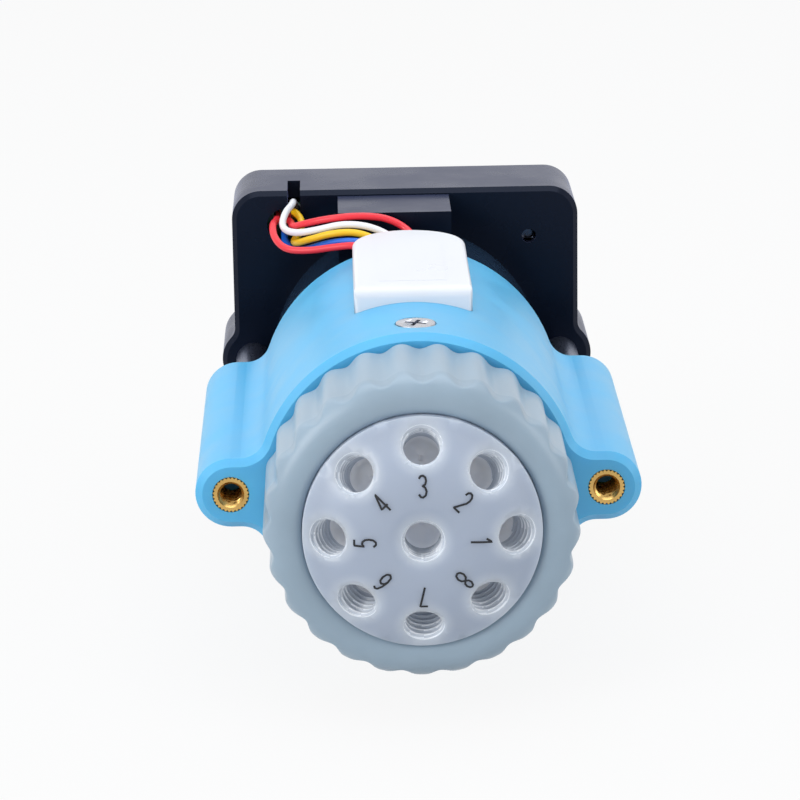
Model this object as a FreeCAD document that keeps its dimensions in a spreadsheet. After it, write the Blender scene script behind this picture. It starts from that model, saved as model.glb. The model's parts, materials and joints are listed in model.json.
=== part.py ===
"""Microfluidic selector valve: one common port, switched to any of eight outlets by a geared stepper motor.

Frame, in millimetres: X to the right, Y along the valve axis from the ports towards the motor, Z up. The
origin is on the valve axis in the front plane of the two ears, where the valve is fastened to a panel.
"""
import FreeCAD, Part
import math
import os
import Sketcher

Vector = FreeCAD.Vector
Rotation = FreeCAD.Rotation
Placement = FreeCAD.Placement

ORIGIN = Vector(0, 0, 0)
X_AXIS = Vector(1, 0, 0)
Y_AXIS = Vector(0, 1, 0)
Z_AXIS = Vector(0, 0, 1)

# Driving dimensions, in millimetres and degrees
SIZES = {
    # Valve housing
    "housing_radius": 25.05,
    "housing_length": 57.5,
    "casing_wall": 1.6,
    "sensor_wall": 3.55,
    "neck_radius": 21.0,
    "neck_length": 10.5,
    "panel_spacing": 58.0,
    "ear_radius": 5.5,
    "ear_blend": 4.0,
    "rim_bevel": 1.1,
    "back_bevel": 0.4,
    "web_bore": 12.0,
    "web_thickness": 3.0,
    "seat_fit": 0.05,
    # Threaded inserts and the screw in the housing
    "insert_radius": 2.85,
    "insert_bore": 1.65,
    "insert_length": 8.0,
    "insert_groove": 0.35,
    "insert_lead": 0.35,
    "post_insert_radius": 2.1,
    "post_insert_length": 6.0,
    "screw_radius": 1.5,
    "screw_head_radius": 3.05,
    "screw_head_height": 1.2,
    "screw_station": 7.0,
    "screw_end": 12.0,
    "head_clearance": 0.2,
    "hole_clearance": 0.1,
    # Stator head
    "head_reach": 24.73,
    "head_radius": 17.6,
    "dome_angle": 30.0,
    "dome_blend": 17.0,
    "flange_radius": 20.7,
    "flange_thickness": 3.5,
    "spigot_radius": 18.9,
    "seal_plane": 8.0,
    "port_circle": 14.02,
    "port_station": 22.43,
    "port_tilt": 30.0,
    "port_count": 8,
    "port_bore": 2.75,
    "port_mouth": 3.3,
    "port_lead": 0.55,
    "port_depth": 8.0,
    "flow_bore": 0.5,
    "dowel_radius": 0.7,
    "dowel_circle": 19.85,
    "dowel_depth": 2.2,
    # Ring nut and the washer under its lip
    "nut_radius": 23.9,
    "nut_gap": 1.0,
    "nut_reach": 19.8,
    "nut_bore": 21.05,
    "lip_bore": 17.95,
    "lip_round": 3.8,
    "lip_inner_round": 0.8,
    "scallop_count": 25,
    "scallop_depth": 0.9,
    "scallop_phase": 9.9,
    "slip_thickness": 0.8,
    "slip_bore": 18.3,
    # Rotor: seal, carrier, thrust bearing, springs and shaft
    "seal_radius": 8.5,
    "seal_thickness": 3.0,
    "channel_width": 1.0,
    "channel_depth": 0.6,
    "carrier_radius": 9.8,
    "carrier_rim": 1.5,
    "carrier_thickness": 5.5,
    "pin_radius": 0.75,
    "pin_circle": 6.3,
    "pin_length": 5.5,
    "shaft_radius": 4.0,
    "race_bore": 4.6,
    "race_radius": 9.4,
    "race_thickness": 1.0,
    "roller_radius": 0.95,
    "roller_length": 3.4,
    "roller_count": 10,
    "roller_clearance": 0.05,
    "cage_thickness": 1.2,
    "spring_rise": 1.75,
    "spring_thickness": 0.8,
    # Bearing block and the radial bearing of the shaft
    "block_front": 2.0,
    "block_length": 12.0,
    "block_pocket": 10.0,
    "block_web": 1.0,
    "bearing_radius": 8.0,
    "bearing_width": 5.0,
    "race_wall": 1.1,
    "ball_count": 7,
    # Coupling and position sensor
    "coupling_front": 18.5,
    "coupling_radius": 9.0,
    "coupling_neck": 7.0,
    "coupling_step": 27.5,
    "coupling_back": 33.0,
    "coupling_split": 25.0,
    "output_radius": 3.0,
    "disc_radius": 19.0,
    "disc_thickness": 0.5,
    "disc_slots": 8,
    "slot_width": 2.4,
    "slot_inner": 15.5,
    "slot_outer": 18.0,
    "fork_width": 7.0,
    "fork_arm": 1.7,
    "fork_gap": 1.1,
    "fork_reach": 15.5,
    "board_height": 24.2,
    "board_thickness": 1.6,
    "board_width": 12.0,
    "board_front": 21.4,
    "board_back": 44.0,
    # White cover over the sensor
    "cover_half_width": 9.35,
    "cover_front": 19.6,
    "cover_round_centre": 50.0,
    "cover_top": 27.5,
    "cover_wall": 1.2,
    "cover_edge_round": 0.9,
    "cover_corner_round": 0.8,
    "panel_relief": 0.15,
    # Planetary gearbox
    "gearbox_front": 36.0,
    "plate_thickness": 4.0,
    "gear_stage_length": 10.0,
    "motor_clearance": 0.1,
    "gear_module": 0.6,
    "sun_teeth": 12,
    "planet_teeth": 18,
    "planet_count": 3,
    "gear_width": 5.0,
    "gear_gap": 0.3,
    "gear_backlash": 0.12,
    "carrier_disc_radius": 11.0,
    "carrier_disc_thickness": 3.0,
    "planet_pin_radius": 1.2,
    "running_fit": 0.05,
    "bush_radius": 5.0,
    "tie_circle": 18.5,
    "tie_radius": 1.5,
    "tie_head_radius": 2.4,
    "tie_head_height": 1.6,
    "tie_count": 4,
    # Stepper motor
    "motor_plate_thickness": 3.0,
    "motor_wall": 1.75,
    "motor_end": 2.0,
    "motor_shaft_radius": 2.5,
    "sun_bore": 1.5,
    "stack_length": 14.0,
    "stack_start": 57.0,
    "rotor_radius": 12.0,
    "air_gap": 0.3,
    "winding_radius": 20.5,
    "winding_length": 2.5,
    # Rear box
    "box_front": 78.6,
    "box_size": 60.0,
    "box_depth": 18.0,
    "box_corner": 5.0,
    "box_wall": 3.0,
    "box_bevel": 0.8,
    "lobe_offset": 26.8,
    "lobe_radius": 5.5,
    "lobe_proud": 2.3,
    "lobe_blend": 2.5,
    "post_radius": 3.1,
    "bolt_radius": 1.5,
    "bolt_head_radius": 2.75,
    "bolt_head_height": 3.0,
    "bolt_recess": 3.4,
    "bolt_grip": 4.5,
    "cover_plate": 2.0,
    "plate_clearance": 0.15,
    "boss_inset": 3.5,
    "boss_radius": 3.4,
    "plate_screw_radius": 1.25,
    "plate_screw_length": 8.0,
    "plate_head_radius": 2.3,
    "wire_hole_x": -20.9,
    "wire_hole_z": 23.8,
    "wire_hole_radius": 3.1,
    "wire_slot_width": 2.2,
    "wire_slot_x": -19.2,
    "wire_slot_depth": 8.6,
    "front_screw_inset": 5.5,
    "front_screw_drop": 5.7,
    "front_screw_radius": 1.25,
    "front_screw_depth": 2.0,
    "front_head_height": 1.4,
    "control_board_station": 86.6,
    "control_board_thickness": 1.6,
    "control_board_gap": 1.0,
    "chip_height": 1.0,
    "socket_width": 22.0,
    "socket_height": 10.0,
    "socket_wall": 1.0,
    "socket_back": 97.4,
    "socket_depth": 6.0,
    "contact_size": 0.64,
    "contact_pitch": 2.54,
    "contact_count": 6,
    "contact_reach": 1.2,
    # Block on top of the motor
    "block_left": 11.6,
    "block_right": 7.6,
    "block_drop": 1.0,
    "block_depth": 13.2,
    "block_wall": 1.5,
    # Leads
    "lead_diameter": 1.2,
}

doc = FreeCAD.newDocument("SelectorValve")
sheet = doc.addObject("Spreadsheet::Sheet", "Sizes")
for row, (alias, number) in enumerate(SIZES.items(), start=1):
    sheet.set(f"A{row}", alias)
    sheet.set(f"B{row}", str(number))
    sheet.setAlias(f"B{row}", alias)
doc.recompute()


class Size:
    """A number together with the sheet expression that gives it."""

    def __init__(self, number, text):
        self.number = float(number)
        self.text = text

    def __add__(self, other):
        other = as_size(other)
        return Size(self.number + other.number, f"({self.text} + {other.text})")

    def __sub__(self, other):
        other = as_size(other)
        return Size(self.number - other.number, f"({self.text} - {other.text})")

    def __mul__(self, other):
        other = as_size(other)
        return Size(self.number * other.number, f"({self.text} * {other.text})")

    def __truediv__(self, other):
        other = as_size(other)
        return Size(self.number / other.number, f"({self.text} / {other.text})")

    def __neg__(self):
        return Size(-self.number, f"(0 - {self.text})")

    def __float__(self):
        return self.number

    __radd__ = __add__
    __rmul__ = __mul__

    def __rsub__(self, other):
        return as_size(other) - self


def as_size(value):
    return value if isinstance(value, Size) else Size(value, repr(value))


def size(alias):
    return Size(float(sheet.get(alias)), f"Sizes.{alias}")


def cosine(angle):
    return Size(math.cos(math.radians(angle.number)), f"cos({angle.text} * 1 deg)")


def sine(angle):
    return Size(math.sin(math.radians(angle.number)), f"sin({angle.text} * 1 deg)")


def tangent(angle):
    return Size(math.tan(math.radians(angle.number)), f"tan({angle.text} * 1 deg)")


def larger(one, two):
    return Size(max(one.number, two.number), f"max({one.text}; {two.text})")


PARTS = []


def keep(feature, label):
    """Name an object as a finished sub-part of the valve."""
    feature.Label = label
    PARTS.append(feature)
    return feature


# Sketches and features of a body

def new_body(label):
    return doc.addObject("PartDesign::Body", label + "_body")


def origin_of(body, role):
    return next(item for item in body.Origin.OriginFeatures if item.Role == role)


def new_sketch(body, role="XY_Plane", offset=None):
    sketch = body.newObject("Sketcher::SketchObject", "Sketch")
    sketch.AttachmentSupport = [(origin_of(body, role), "")]
    sketch.MapMode = "FlatFace"
    if offset is not None:
        offset = as_size(offset)
        sketch.AttachmentOffset = Placement(Vector(0, 0, offset.number), Rotation())
        sketch.setExpression("AttachmentOffset.Base.z", offset.text)
    return sketch


def pin_point(sketch, geometry, end, place):
    """Hold one end of a sketch element at a place that comes from the sheet."""
    for kind, axis, value in (("DistanceX", -2, place[0]), ("DistanceY", -1, place[1])):
        value = as_size(value)
        if value.number == 0 and value.text in ("0", "0.0"):
            sketch.addConstraint(Sketcher.Constraint("PointOnObject", geometry, end, axis))
            continue
        item = sketch.addConstraint(Sketcher.Constraint(kind, -1, 1, geometry, end, value.number))
        if "Sizes" in value.text:
            sketch.setExpression(f"Constraints[{item}]", value.text)


def flat(place):
    return Vector(as_size(place[0]).number, as_size(place[1]).number, 0)


def polygon(sketch, places):
    """A closed outline of straight lines through the places."""
    first = sketch.GeometryCount
    count = len(places)
    for index, place in enumerate(places):
        after = places[(index + 1) % count]
        sketch.addGeometry(Part.LineSegment(flat(place), flat(after)), False)
    for index in range(count):
        after = first + (index + 1) % count
        sketch.addConstraint(Sketcher.Constraint("Coincident", first + index, 2, after, 1))
    for index, place in enumerate(places):
        pin_point(sketch, first + index, 1, place)
    return sketch


def rectangle(sketch, low, high):
    return polygon(sketch, [low, (high[0], low[1]), high, (low[0], high[1])])


def circle(sketch, centre, radius):
    radius = as_size(radius)
    item = sketch.addGeometry(Part.Circle(flat(centre), Z_AXIS, radius.number), False)
    pin_point(sketch, item, 3, centre)
    rule = sketch.addConstraint(Sketcher.Constraint("Radius", item, radius.number))
    sketch.setExpression(f"Constraints[{rule}]", radius.text)
    return item


def slot_outline(sketch, half_length, radius):
    """A level slot with round ends, centred on the sketch's origin."""
    reach, rise = half_length.number, radius.number
    quarter = math.pi / 2
    arcs = []
    for side, start in ((-1, quarter), (1, -quarter)):
        ring = Part.Circle(Vector(side * reach, 0, 0), Z_AXIS, rise)
        arcs.append(sketch.addGeometry(Part.ArcOfCircle(ring, start, start + math.pi), False))
    low = sketch.addGeometry(Part.LineSegment(Vector(-reach, -rise, 0), Vector(reach, -rise, 0)), False)
    high = sketch.addGeometry(Part.LineSegment(Vector(reach, rise, 0), Vector(-reach, rise, 0)), False)
    joins = ((arcs[0], 2, low, 1), (low, 2, arcs[1], 1), (arcs[1], 2, high, 1), (high, 2, arcs[0], 1))
    for one, one_end, two, two_end in joins:
        sketch.addConstraint(Sketcher.Constraint("Tangent", one, one_end, two, two_end))
    pin_point(sketch, arcs[0], 3, (-half_length, 0))
    pin_point(sketch, arcs[1], 3, (half_length, 0))
    rule = sketch.addConstraint(Sketcher.Constraint("Radius", arcs[0], rise))
    sketch.setExpression(f"Constraints[{rule}]", radius.text)


def turn(body, sketch, kind="Revolution", axis="V_Axis"):
    feature = body.newObject("PartDesign::" + kind, kind)
    feature.Profile = sketch
    feature.ReferenceAxis = (sketch, [axis])
    feature.Angle = 360
    doc.recompute()
    return feature


def extrude(body, sketch, length, kind="Pad", reverse=False, both=False):
    feature = body.newObject("PartDesign::" + kind, kind)
    feature.Profile = sketch
    feature.Reversed = reverse
    feature.Midplane = both
    length = as_size(length)
    feature.Length = length.number
    feature.setExpression("Length", length.text)
    doc.recompute()
    return feature


def around(body, feature, count):
    """Repeat a feature evenly round the valve axis."""
    pattern = body.newObject("PartDesign::PolarPattern", "PolarPattern")
    pattern.Originals = [feature]
    pattern.Axis = (origin_of(body, "Y_Axis"), [""])
    pattern.Angle = 360
    pattern.Occurrences = int(count.number)
    pattern.setExpression("Occurrences", count.text)
    body.Tip = pattern
    doc.recompute()
    return pattern


def edges_where(feature, test):
    """Names of the edges of a feature that pass a test on the edge."""
    return [f"Edge{index}" for index, edge in enumerate(feature.Shape.Edges, start=1) if test(edge)]


def dress(body, feature, kind, amount, test):
    """Fillet or chamfer the edges that pass a test."""
    amount = as_size(amount)
    item = body.newObject("PartDesign::" + kind, kind)
    item.Base = (feature, edges_where(feature, test))
    field = "Radius" if kind == "Fillet" else "Size"
    setattr(item, field, amount.number)
    item.setExpression(field, amount.text)
    body.Tip = item
    doc.recompute()
    return item


def near(one, two, room=0.01):
    return abs(float(one) - float(two)) < room


def ring_edge(radius, station):
    """A test for the full circle of a turned piece at one radius and one station along Y."""
    def test(edge):
        curve = edge.Curve
        if not isinstance(curve, Part.Circle):
            return False
        return near(curve.Radius, radius) and near(curve.Center.y, station)
    return test


def turned_body(label, outline):
    """A body turned about the valve axis from an outline of radius and station pairs."""
    body = new_body(label)
    turn(body, polygon(new_sketch(body), outline))
    return body


def turned(label, outline):
    return keep(turned_body(label, outline), label)


def sleeve(label, bore, radius, start, end):
    """A plain ring about the valve axis."""
    return turned(label, [(bore, start), (radius, start), (radius, end), (bore, end)])


def compound(label, items):
    group = doc.addObject("Part::Compound", label + "_group")
    group.Links = items
    doc.recompute()
    return keep(group, label)


def copies(label, shape, places):
    """One sub-part of equal separate solids, each at its own place."""
    items = []
    for place in places:
        item = doc.addObject("Part::Feature", label + "_copy")
        item.Shape = shape
        item.Placement = place
        items.append(item)
    return compound(label, items)


def at(x=0.0, y=0.0, z=0.0, rotation=None):
    return Placement(Vector(float(x), float(y), float(z)), rotation or Rotation())


def about_y(angle):
    return Rotation(Y_AXIS, angle)


def rod(name, radius, length, place):
    """A round rod along Z of its own frame, put at a place."""
    item = doc.addObject("Part::Cylinder", name)
    radius, length = as_size(radius), as_size(length)
    item.Radius = radius.number
    item.Height = length.number
    item.setExpression("Radius", radius.text)
    item.setExpression("Height", length.text)
    item.Placement = place
    return item


def brick(name, low, high):
    """A box between two corners, each a triple of sheet sizes."""
    item = doc.addObject("Part::Box", name)
    for field, start, end in zip(("Length", "Width", "Height"), low, high):
        span = as_size(end) - start
        setattr(item, field, span.number)
        item.setExpression(field, span.text)
    item.Placement = at(*low)
    for axis, start in zip("xyz", low):
        item.setExpression(f"Placement.Base.{axis}", as_size(start).text)
    return item


def cut(name, base, tool):
    item = doc.addObject("Part::Cut", name)
    item.Base = base
    item.Tool = tool
    doc.recompute()
    return item


def fuse(name, items):
    item = doc.addObject("Part::MultiFuse", name)
    item.Shapes = items
    doc.recompute()
    return item


ALONG_Y = Rotation(X_AXIS, -90)
LEAD_RADIUS = size("lead_diameter") / 2

# Stations and radii that several pieces share

HOUSING_R = size("housing_radius")
HOUSING_BACK = size("housing_length")
REAR_BORE = HOUSING_R - size("casing_wall")
SENSOR_BORE = HOUSING_R - size("sensor_wall")
SPIGOT_BORE = size("spigot_radius") + size("seat_fit")
BLOCK_FRONT = size("block_front")
BLOCK_BACK = BLOCK_FRONT + size("block_length")
WEB_BACK = BLOCK_BACK + size("web_thickness")
FLANGE_FRONT = -(size("neck_length") + size("flange_thickness"))
SEAL_FACE = -size("seal_plane")
SEAL_BACK = SEAL_FACE + size("seal_thickness")
CARRIER_BACK = SEAL_BACK + size("carrier_thickness")
ROLLER_SPACE = 2 * (size("roller_radius") + size("roller_clearance"))
FRONT_RACE_BACK = CARRIER_BACK + size("race_thickness")
REAR_RACE_FRONT = FRONT_RACE_BACK + ROLLER_SPACE
SPRING_FRONT = REAR_RACE_FRONT + size("race_thickness")
SPRING_BACK = SPRING_FRONT + 2 * size("spring_rise")
BEARING_FRONT = BLOCK_BACK - size("bearing_width")
GEARBOX_FRONT = size("gearbox_front")
STAGE_FRONT = GEARBOX_FRONT + size("plate_thickness")
STAGE_BACK = STAGE_FRONT + size("gear_stage_length")
MOTOR_FRONT = STAGE_BACK + size("motor_plate_thickness")
MOTOR_R = REAR_BORE - size("motor_clearance")
BOX_FRONT = size("box_front")
BOX_BACK = BOX_FRONT + size("box_depth")
BOX_HALF = size("box_size") / 2
CAVITY_FRONT = BOX_FRONT + size("box_wall")
CAVITY_HALF = BOX_HALF - size("box_wall")
PANEL_HALF = size("panel_spacing") / 2
LOBE_X = size("lobe_offset")
LOBE_REACH = larger(LOBE_X + size("lobe_radius"), BOX_HALF + size("lobe_proud"))
BOSS_X = CAVITY_HALF - size("boss_inset")
BOSS_Z = CAVITY_HALF / 2
BOSS_SPOTS = ((BOSS_X, BOSS_Z), (-BOSS_X, BOSS_Z), (-BOSS_X, -BOSS_Z), (BOSS_X, -BOSS_Z))
FRONT_SCREW_X = CAVITY_HALF - size("front_screw_inset")
FRONT_SCREW_Z = CAVITY_HALF - size("front_screw_drop")
FRONT_SCREW_SPOTS = (
    (FRONT_SCREW_X, FRONT_SCREW_Z), (FRONT_SCREW_X, -FRONT_SCREW_Z), (-FRONT_SCREW_X, -FRONT_SCREW_Z),
)
DISC_MIDDLE = size("coupling_step") + size("disc_thickness") / 2
FORK_FRONT = DISC_MIDDLE - size("fork_gap") - size("fork_arm")
FORK_BACK = DISC_MIDDLE + size("fork_gap") + size("fork_arm")
PIN_IN_SEAL = size("seal_thickness") / 2


# Valve housing

def valve_housing():
    body = new_body("valve_housing")
    neck, ear = size("neck_radius"), size("ear_radius")
    neck_front = -size("neck_length")
    outline = [
        (0, neck_front), (neck, neck_front), (neck, 0), (HOUSING_R, 0), (HOUSING_R, HOUSING_BACK),
        (0, HOUSING_BACK),
    ]
    turn(body, polygon(new_sketch(body), outline))
    ears = new_sketch(body, "XZ_Plane")
    slot_outline(ears, PANEL_HALF, ear)
    shell = extrude(body, ears, HOUSING_BACK, reverse=True)

    def at_junction(edge):
        ends = edge.Vertexes
        if len(ends) != 2:
            return False
        long_way = near(abs(ends[0].Y - ends[1].Y), HOUSING_BACK)
        at_ear = near(abs(ends[0].Z), ear) and abs(ends[0].X) < PANEL_HALF.number - 1
        return long_way and at_ear

    shell = dress(body, shell, "Fillet", size("ear_blend"), at_junction)

    def on_rim(station):
        def test(edge):
            box = edge.BoundBox
            level = near(box.YMin, station) and near(box.YMax, station)
            middle = edge.valueAt((edge.FirstParameter + edge.LastParameter) / 2)
            return level and math.hypot(middle.x, middle.z) > float(neck) + 1
        return test

    shell = dress(body, shell, "Chamfer", size("rim_bevel"), on_rim(0))
    dress(body, shell, "Chamfer", size("back_bevel"), on_rim(HOUSING_BACK))

    bore = [
        (0, neck_front), (SPIGOT_BORE, neck_front), (SPIGOT_BORE, BLOCK_BACK), (size("web_bore"), BLOCK_BACK),
        (size("web_bore"), WEB_BACK), (SENSOR_BORE, WEB_BACK), (SENSOR_BORE, GEARBOX_FRONT),
        (REAR_BORE, GEARBOX_FRONT), (REAR_BORE, HOUSING_BACK), (0, HOUSING_BACK),
    ]
    turn(body, polygon(new_sketch(body), bore), "Groove")

    front_holes = new_sketch(body, "XZ_Plane")
    circle(front_holes, (-PANEL_HALF, 0), size("insert_radius"))
    circle(front_holes, (PANEL_HALF, 0), size("insert_radius"))
    extrude(body, front_holes, size("insert_length"), "Pocket")

    back_holes = new_sketch(body, "XZ_Plane", -HOUSING_BACK)
    circle(back_holes, (-LOBE_X, 0), size("post_insert_radius"))
    circle(back_holes, (LOBE_X, 0), size("post_insert_radius"))
    extrude(body, back_holes, size("post_insert_length"), "Pocket", reverse=True)

    dowels = new_sketch(body, "XZ_Plane", size("neck_length"))
    circle(dowels, (0, -size("dowel_circle")), size("dowel_radius"))
    circle(dowels, (0, size("dowel_circle")), size("dowel_radius"))
    extrude(body, dowels, size("dowel_depth"), "Pocket")

    screw_hole = new_sketch(body, "XY_Plane")
    circle(screw_hole, (0, size("screw_station")), size("screw_radius") + size("hole_clearance"))
    extrude(body, screw_hole, HOUSING_R + 1, "Pocket", reverse=True)

    head_floor = HOUSING_R - size("screw_head_height")
    recess = new_sketch(body, "XY_Plane", head_floor)
    circle(recess, (0, size("screw_station")), size("screw_head_radius") + size("head_clearance"))
    extrude(body, recess, size("screw_head_height") + 1, "Pocket", reverse=True)

    half_board = size("board_width") / 2 + size("head_clearance")
    seat = new_sketch(body, "XY_Plane", size("board_height"))
    rectangle(seat, (-half_board, size("board_front") - size("head_clearance")), (half_board, HOUSING_BACK))
    extrude(body, seat, size("ear_radius"), "Pocket", reverse=True)

    window = new_sketch(body, "XY_Plane", size("fork_reach"))
    room = size("head_clearance")
    half_fork = size("fork_width") / 2 + room
    rectangle(window, (-half_fork, FORK_FRONT - room), (half_fork, FORK_BACK + room))
    extrude(body, window, HOUSING_R - size("fork_reach"), "Pocket", reverse=True)
    keep(body, "valve_housing")


def housing_inserts():
    bore, outer, groove = size("insert_bore"), size("insert_radius"), size("insert_groove")
    lead, length = size("insert_lead"), size("insert_length")
    outline = [
        (bore + lead, 0), (outer, 0), (outer, length * 0.4), (outer - groove, length * 0.4 + groove),
        (outer - groove, length * 0.6 - groove), (outer, length * 0.6), (outer, length), (bore, length),
        (bore, lead),
    ]
    insert = turned_body("panel_insert", outline)
    copies("panel_inserts", insert.Shape, [at(-PANEL_HALF), at(PANEL_HALF)])
    front = HOUSING_BACK - size("post_insert_length")
    post = turned_body("rear_insert", [
        (size("bolt_radius"), front), (size("post_insert_radius"), front),
        (size("post_insert_radius"), HOUSING_BACK), (size("bolt_radius"), HOUSING_BACK),
    ])
    copies("rear_inserts", post.Shape, [at(-LOBE_X), at(LOBE_X)])


def housing_screw():
    floor = HOUSING_R - size("screw_head_height")
    tip = size("screw_end")
    shank = rod("screw_shank", size("screw_radius"), floor - tip, at(0, size("screw_station"), tip))
    head = rod("screw_head", size("screw_head_radius"), size("screw_head_height") - size("seat_fit"),
               at(0, size("screw_station"), floor))
    keep(fuse("screw", [shank, head]), "housing_screw")


# Stator head, ring nut and what locates them

def port_groove(body, mouth, tilt, depth, reach):
    """Cut one port about its own axis: lead-in, tapped bore and the flow drilling behind it."""
    along = (-sine(tilt), cosine(tilt))
    aside = (cosine(tilt), sine(tilt))

    def place(distance, radius):
        return tuple(mouth[k] + along[k] * distance + aside[k] * radius for k in (0, 1))

    bore, rim, lead, drill = size("port_bore"), size("port_mouth"), size("port_lead"), size("flow_bore")
    sketch = new_sketch(body)
    outline = [
        place(-3.0, 0.0), place(-3.0, rim), place(0.0, rim), place(lead, bore), place(depth, bore),
        place(depth, drill), place(reach, drill), place(reach, 0.0),
    ]
    polygon(sketch, outline)
    axis = sketch.addGeometry(Part.LineSegment(flat(outline[0]), flat(outline[-1])), True)
    pin_point(sketch, axis, 1, outline[0])
    pin_point(sketch, axis, 2, outline[-1])
    return turn(body, sketch, "Groove", "Axis0")


def stator_head():
    body = new_body("stator_head")
    reach, radius = size("head_reach"), size("head_radius")
    slope = tangent(size("dome_angle"))
    port_r, port_y = size("port_circle"), size("port_station")
    flat_radius = port_r - (reach - port_y) / slope
    shoulder = -port_y + (radius - port_r) * slope
    flange, spigot = size("flange_radius"), size("spigot_radius")
    outline = [
        (0, -reach), (flat_radius, -reach), (radius, shoulder), (radius, FLANGE_FRONT),
        (flange, FLANGE_FRONT), (flange, -size("neck_length")), (spigot, -size("neck_length")),
        (spigot, SEAL_FACE), (0, SEAL_FACE),
    ]
    blank = turn(body, polygon(new_sketch(body), outline))
    dress(body, blank, "Fillet", size("dome_blend"), ring_edge(flat_radius, -reach))
    flow_reach = (port_y - size("seal_plane")) / cosine(size("port_tilt")) + 1
    port = port_groove(body, (port_r, -port_y), size("port_tilt"), size("port_depth"), flow_reach)
    around(body, port, size("port_count"))
    centre_reach = reach - size("seal_plane") + 1
    port_groove(body, (as_size(0.0), -reach), as_size(0.0), size("port_depth"), centre_reach)
    dowels = new_sketch(body, "XZ_Plane", size("neck_length"))
    circle(dowels, (0, -size("dowel_circle")), size("dowel_radius"))
    circle(dowels, (0, size("dowel_circle")), size("dowel_radius"))
    extrude(body, dowels, size("dowel_depth"), "Pocket", reverse=True)
    keep(body, "stator_head")


def head_pins():
    length = 2 * size("dowel_depth")
    start = -(size("neck_length") + size("dowel_depth"))
    pin = rod("head_pin", size("dowel_radius"), length, at())
    doc.recompute()
    sides = [-size("dowel_circle").number, size("dowel_circle").number]
    copies("head_pins", pin.Shape, [at(0, start, side, ALONG_Y) for side in sides])


def slip_ring():
    front = FLANGE_FRONT - size("slip_thickness")
    sleeve("slip_ring", size("slip_bore"), size("flange_radius"), front, FLANGE_FRONT)


def scalloped_prism():
    """The nut's scallops: crest and valley arcs in turn, each through a point a quarter pitch either side."""
    crest, depth = size("nut_radius").number, size("scallop_depth").number
    count = int(size("scallop_count").number)
    length = size("nut_reach").number
    middle = crest - depth / 2
    step = 2 * math.pi / count
    start = math.radians(size("scallop_phase").number)

    def point(radius, angle):
        return Vector(radius * math.cos(angle), 0, radius * math.sin(angle))

    arcs = []
    for index in range(2 * count):
        top = start + index * step / 2
        peak = crest if index % 2 == 0 else crest - depth
        ends = [point(middle, top - step / 4), point(peak, top), point(middle, top + step / 4)]
        arcs.append(Part.Arc(*ends).toShape())
    face = Part.Face(Part.Wire(arcs))
    prism = doc.addObject("Part::Feature", "scallops")
    prism.Shape = face.extrude(Vector(0, -length, 0))
    return prism


def ring_nut():
    back, front = -size("nut_gap"), -size("nut_reach")
    inner, outer, lip = size("nut_bore"), size("nut_radius"), size("lip_bore")
    lip_back = FLANGE_FRONT - size("slip_thickness")
    body = turned_body("nut_blank", [
        (inner, back), (outer, back), (outer, front), (lip, front), (lip, lip_back), (inner, lip_back),
    ])
    rounded = dress(body, body.Tip, "Fillet", size("lip_round"), ring_edge(outer, front))
    dress(body, rounded, "Fillet", size("lip_inner_round"), ring_edge(lip, front))
    nut = doc.addObject("Part::Common", "scalloped_nut")
    nut.Base = body
    nut.Tool = scalloped_prism()
    doc.recompute()
    keep(nut, "ring_nut")


# Rotor

def rotor_seal():
    body = turned_body("rotor_seal", [
        (0, SEAL_FACE), (size("seal_radius"), SEAL_FACE), (size("seal_radius"), SEAL_BACK), (0, SEAL_BACK),
    ])
    drop = size("port_station") - size("seal_plane")
    flow_circle = size("port_circle") - drop * tangent(size("port_tilt"))
    half = size("channel_width") / 2
    channel = new_sketch(body, "XZ_Plane", size("seal_plane"))
    rectangle(channel, (-half, -half), (flow_circle + half, half))
    extrude(body, channel, size("channel_depth"), "Pocket")
    pins = new_sketch(body, "XZ_Plane", -SEAL_BACK)
    circle(pins, (size("pin_circle"), 0), size("pin_radius"))
    hole = extrude(body, pins, PIN_IN_SEAL, "Pocket", reverse=True)
    around(body, hole, as_size(3))
    keep(body, "rotor_seal")


def rotor_carrier():
    rim_bore, outer = size("seal_radius") + size("seat_fit"), size("carrier_radius")
    rim_front = SEAL_BACK - size("carrier_rim")
    bore = size("shaft_radius")
    body = turned_body("rotor_carrier", [
        (rim_bore, rim_front), (outer, rim_front), (outer, CARRIER_BACK), (bore, CARRIER_BACK),
        (bore, SEAL_BACK), (rim_bore, SEAL_BACK),
    ])
    pins = new_sketch(body, "XZ_Plane", -SEAL_BACK)
    circle(pins, (size("pin_circle"), 0), size("pin_radius"))
    hole = extrude(body, pins, size("pin_length") - PIN_IN_SEAL, "Pocket")
    around(body, hole, as_size(3))
    keep(body, "rotor_carrier")


def drive_pins():
    pin = rod("drive_pin", size("pin_radius"), size("pin_length"), at())
    doc.recompute()
    places = []
    for index in range(3):
        turn_by = about_y(120 * index)
        foot = turn_by.multVec(Vector(size("pin_circle").number, (SEAL_BACK - PIN_IN_SEAL).number, 0))
        places.append(Placement(foot, ALONG_Y))
    copies("drive_pins", pin.Shape, places)


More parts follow.
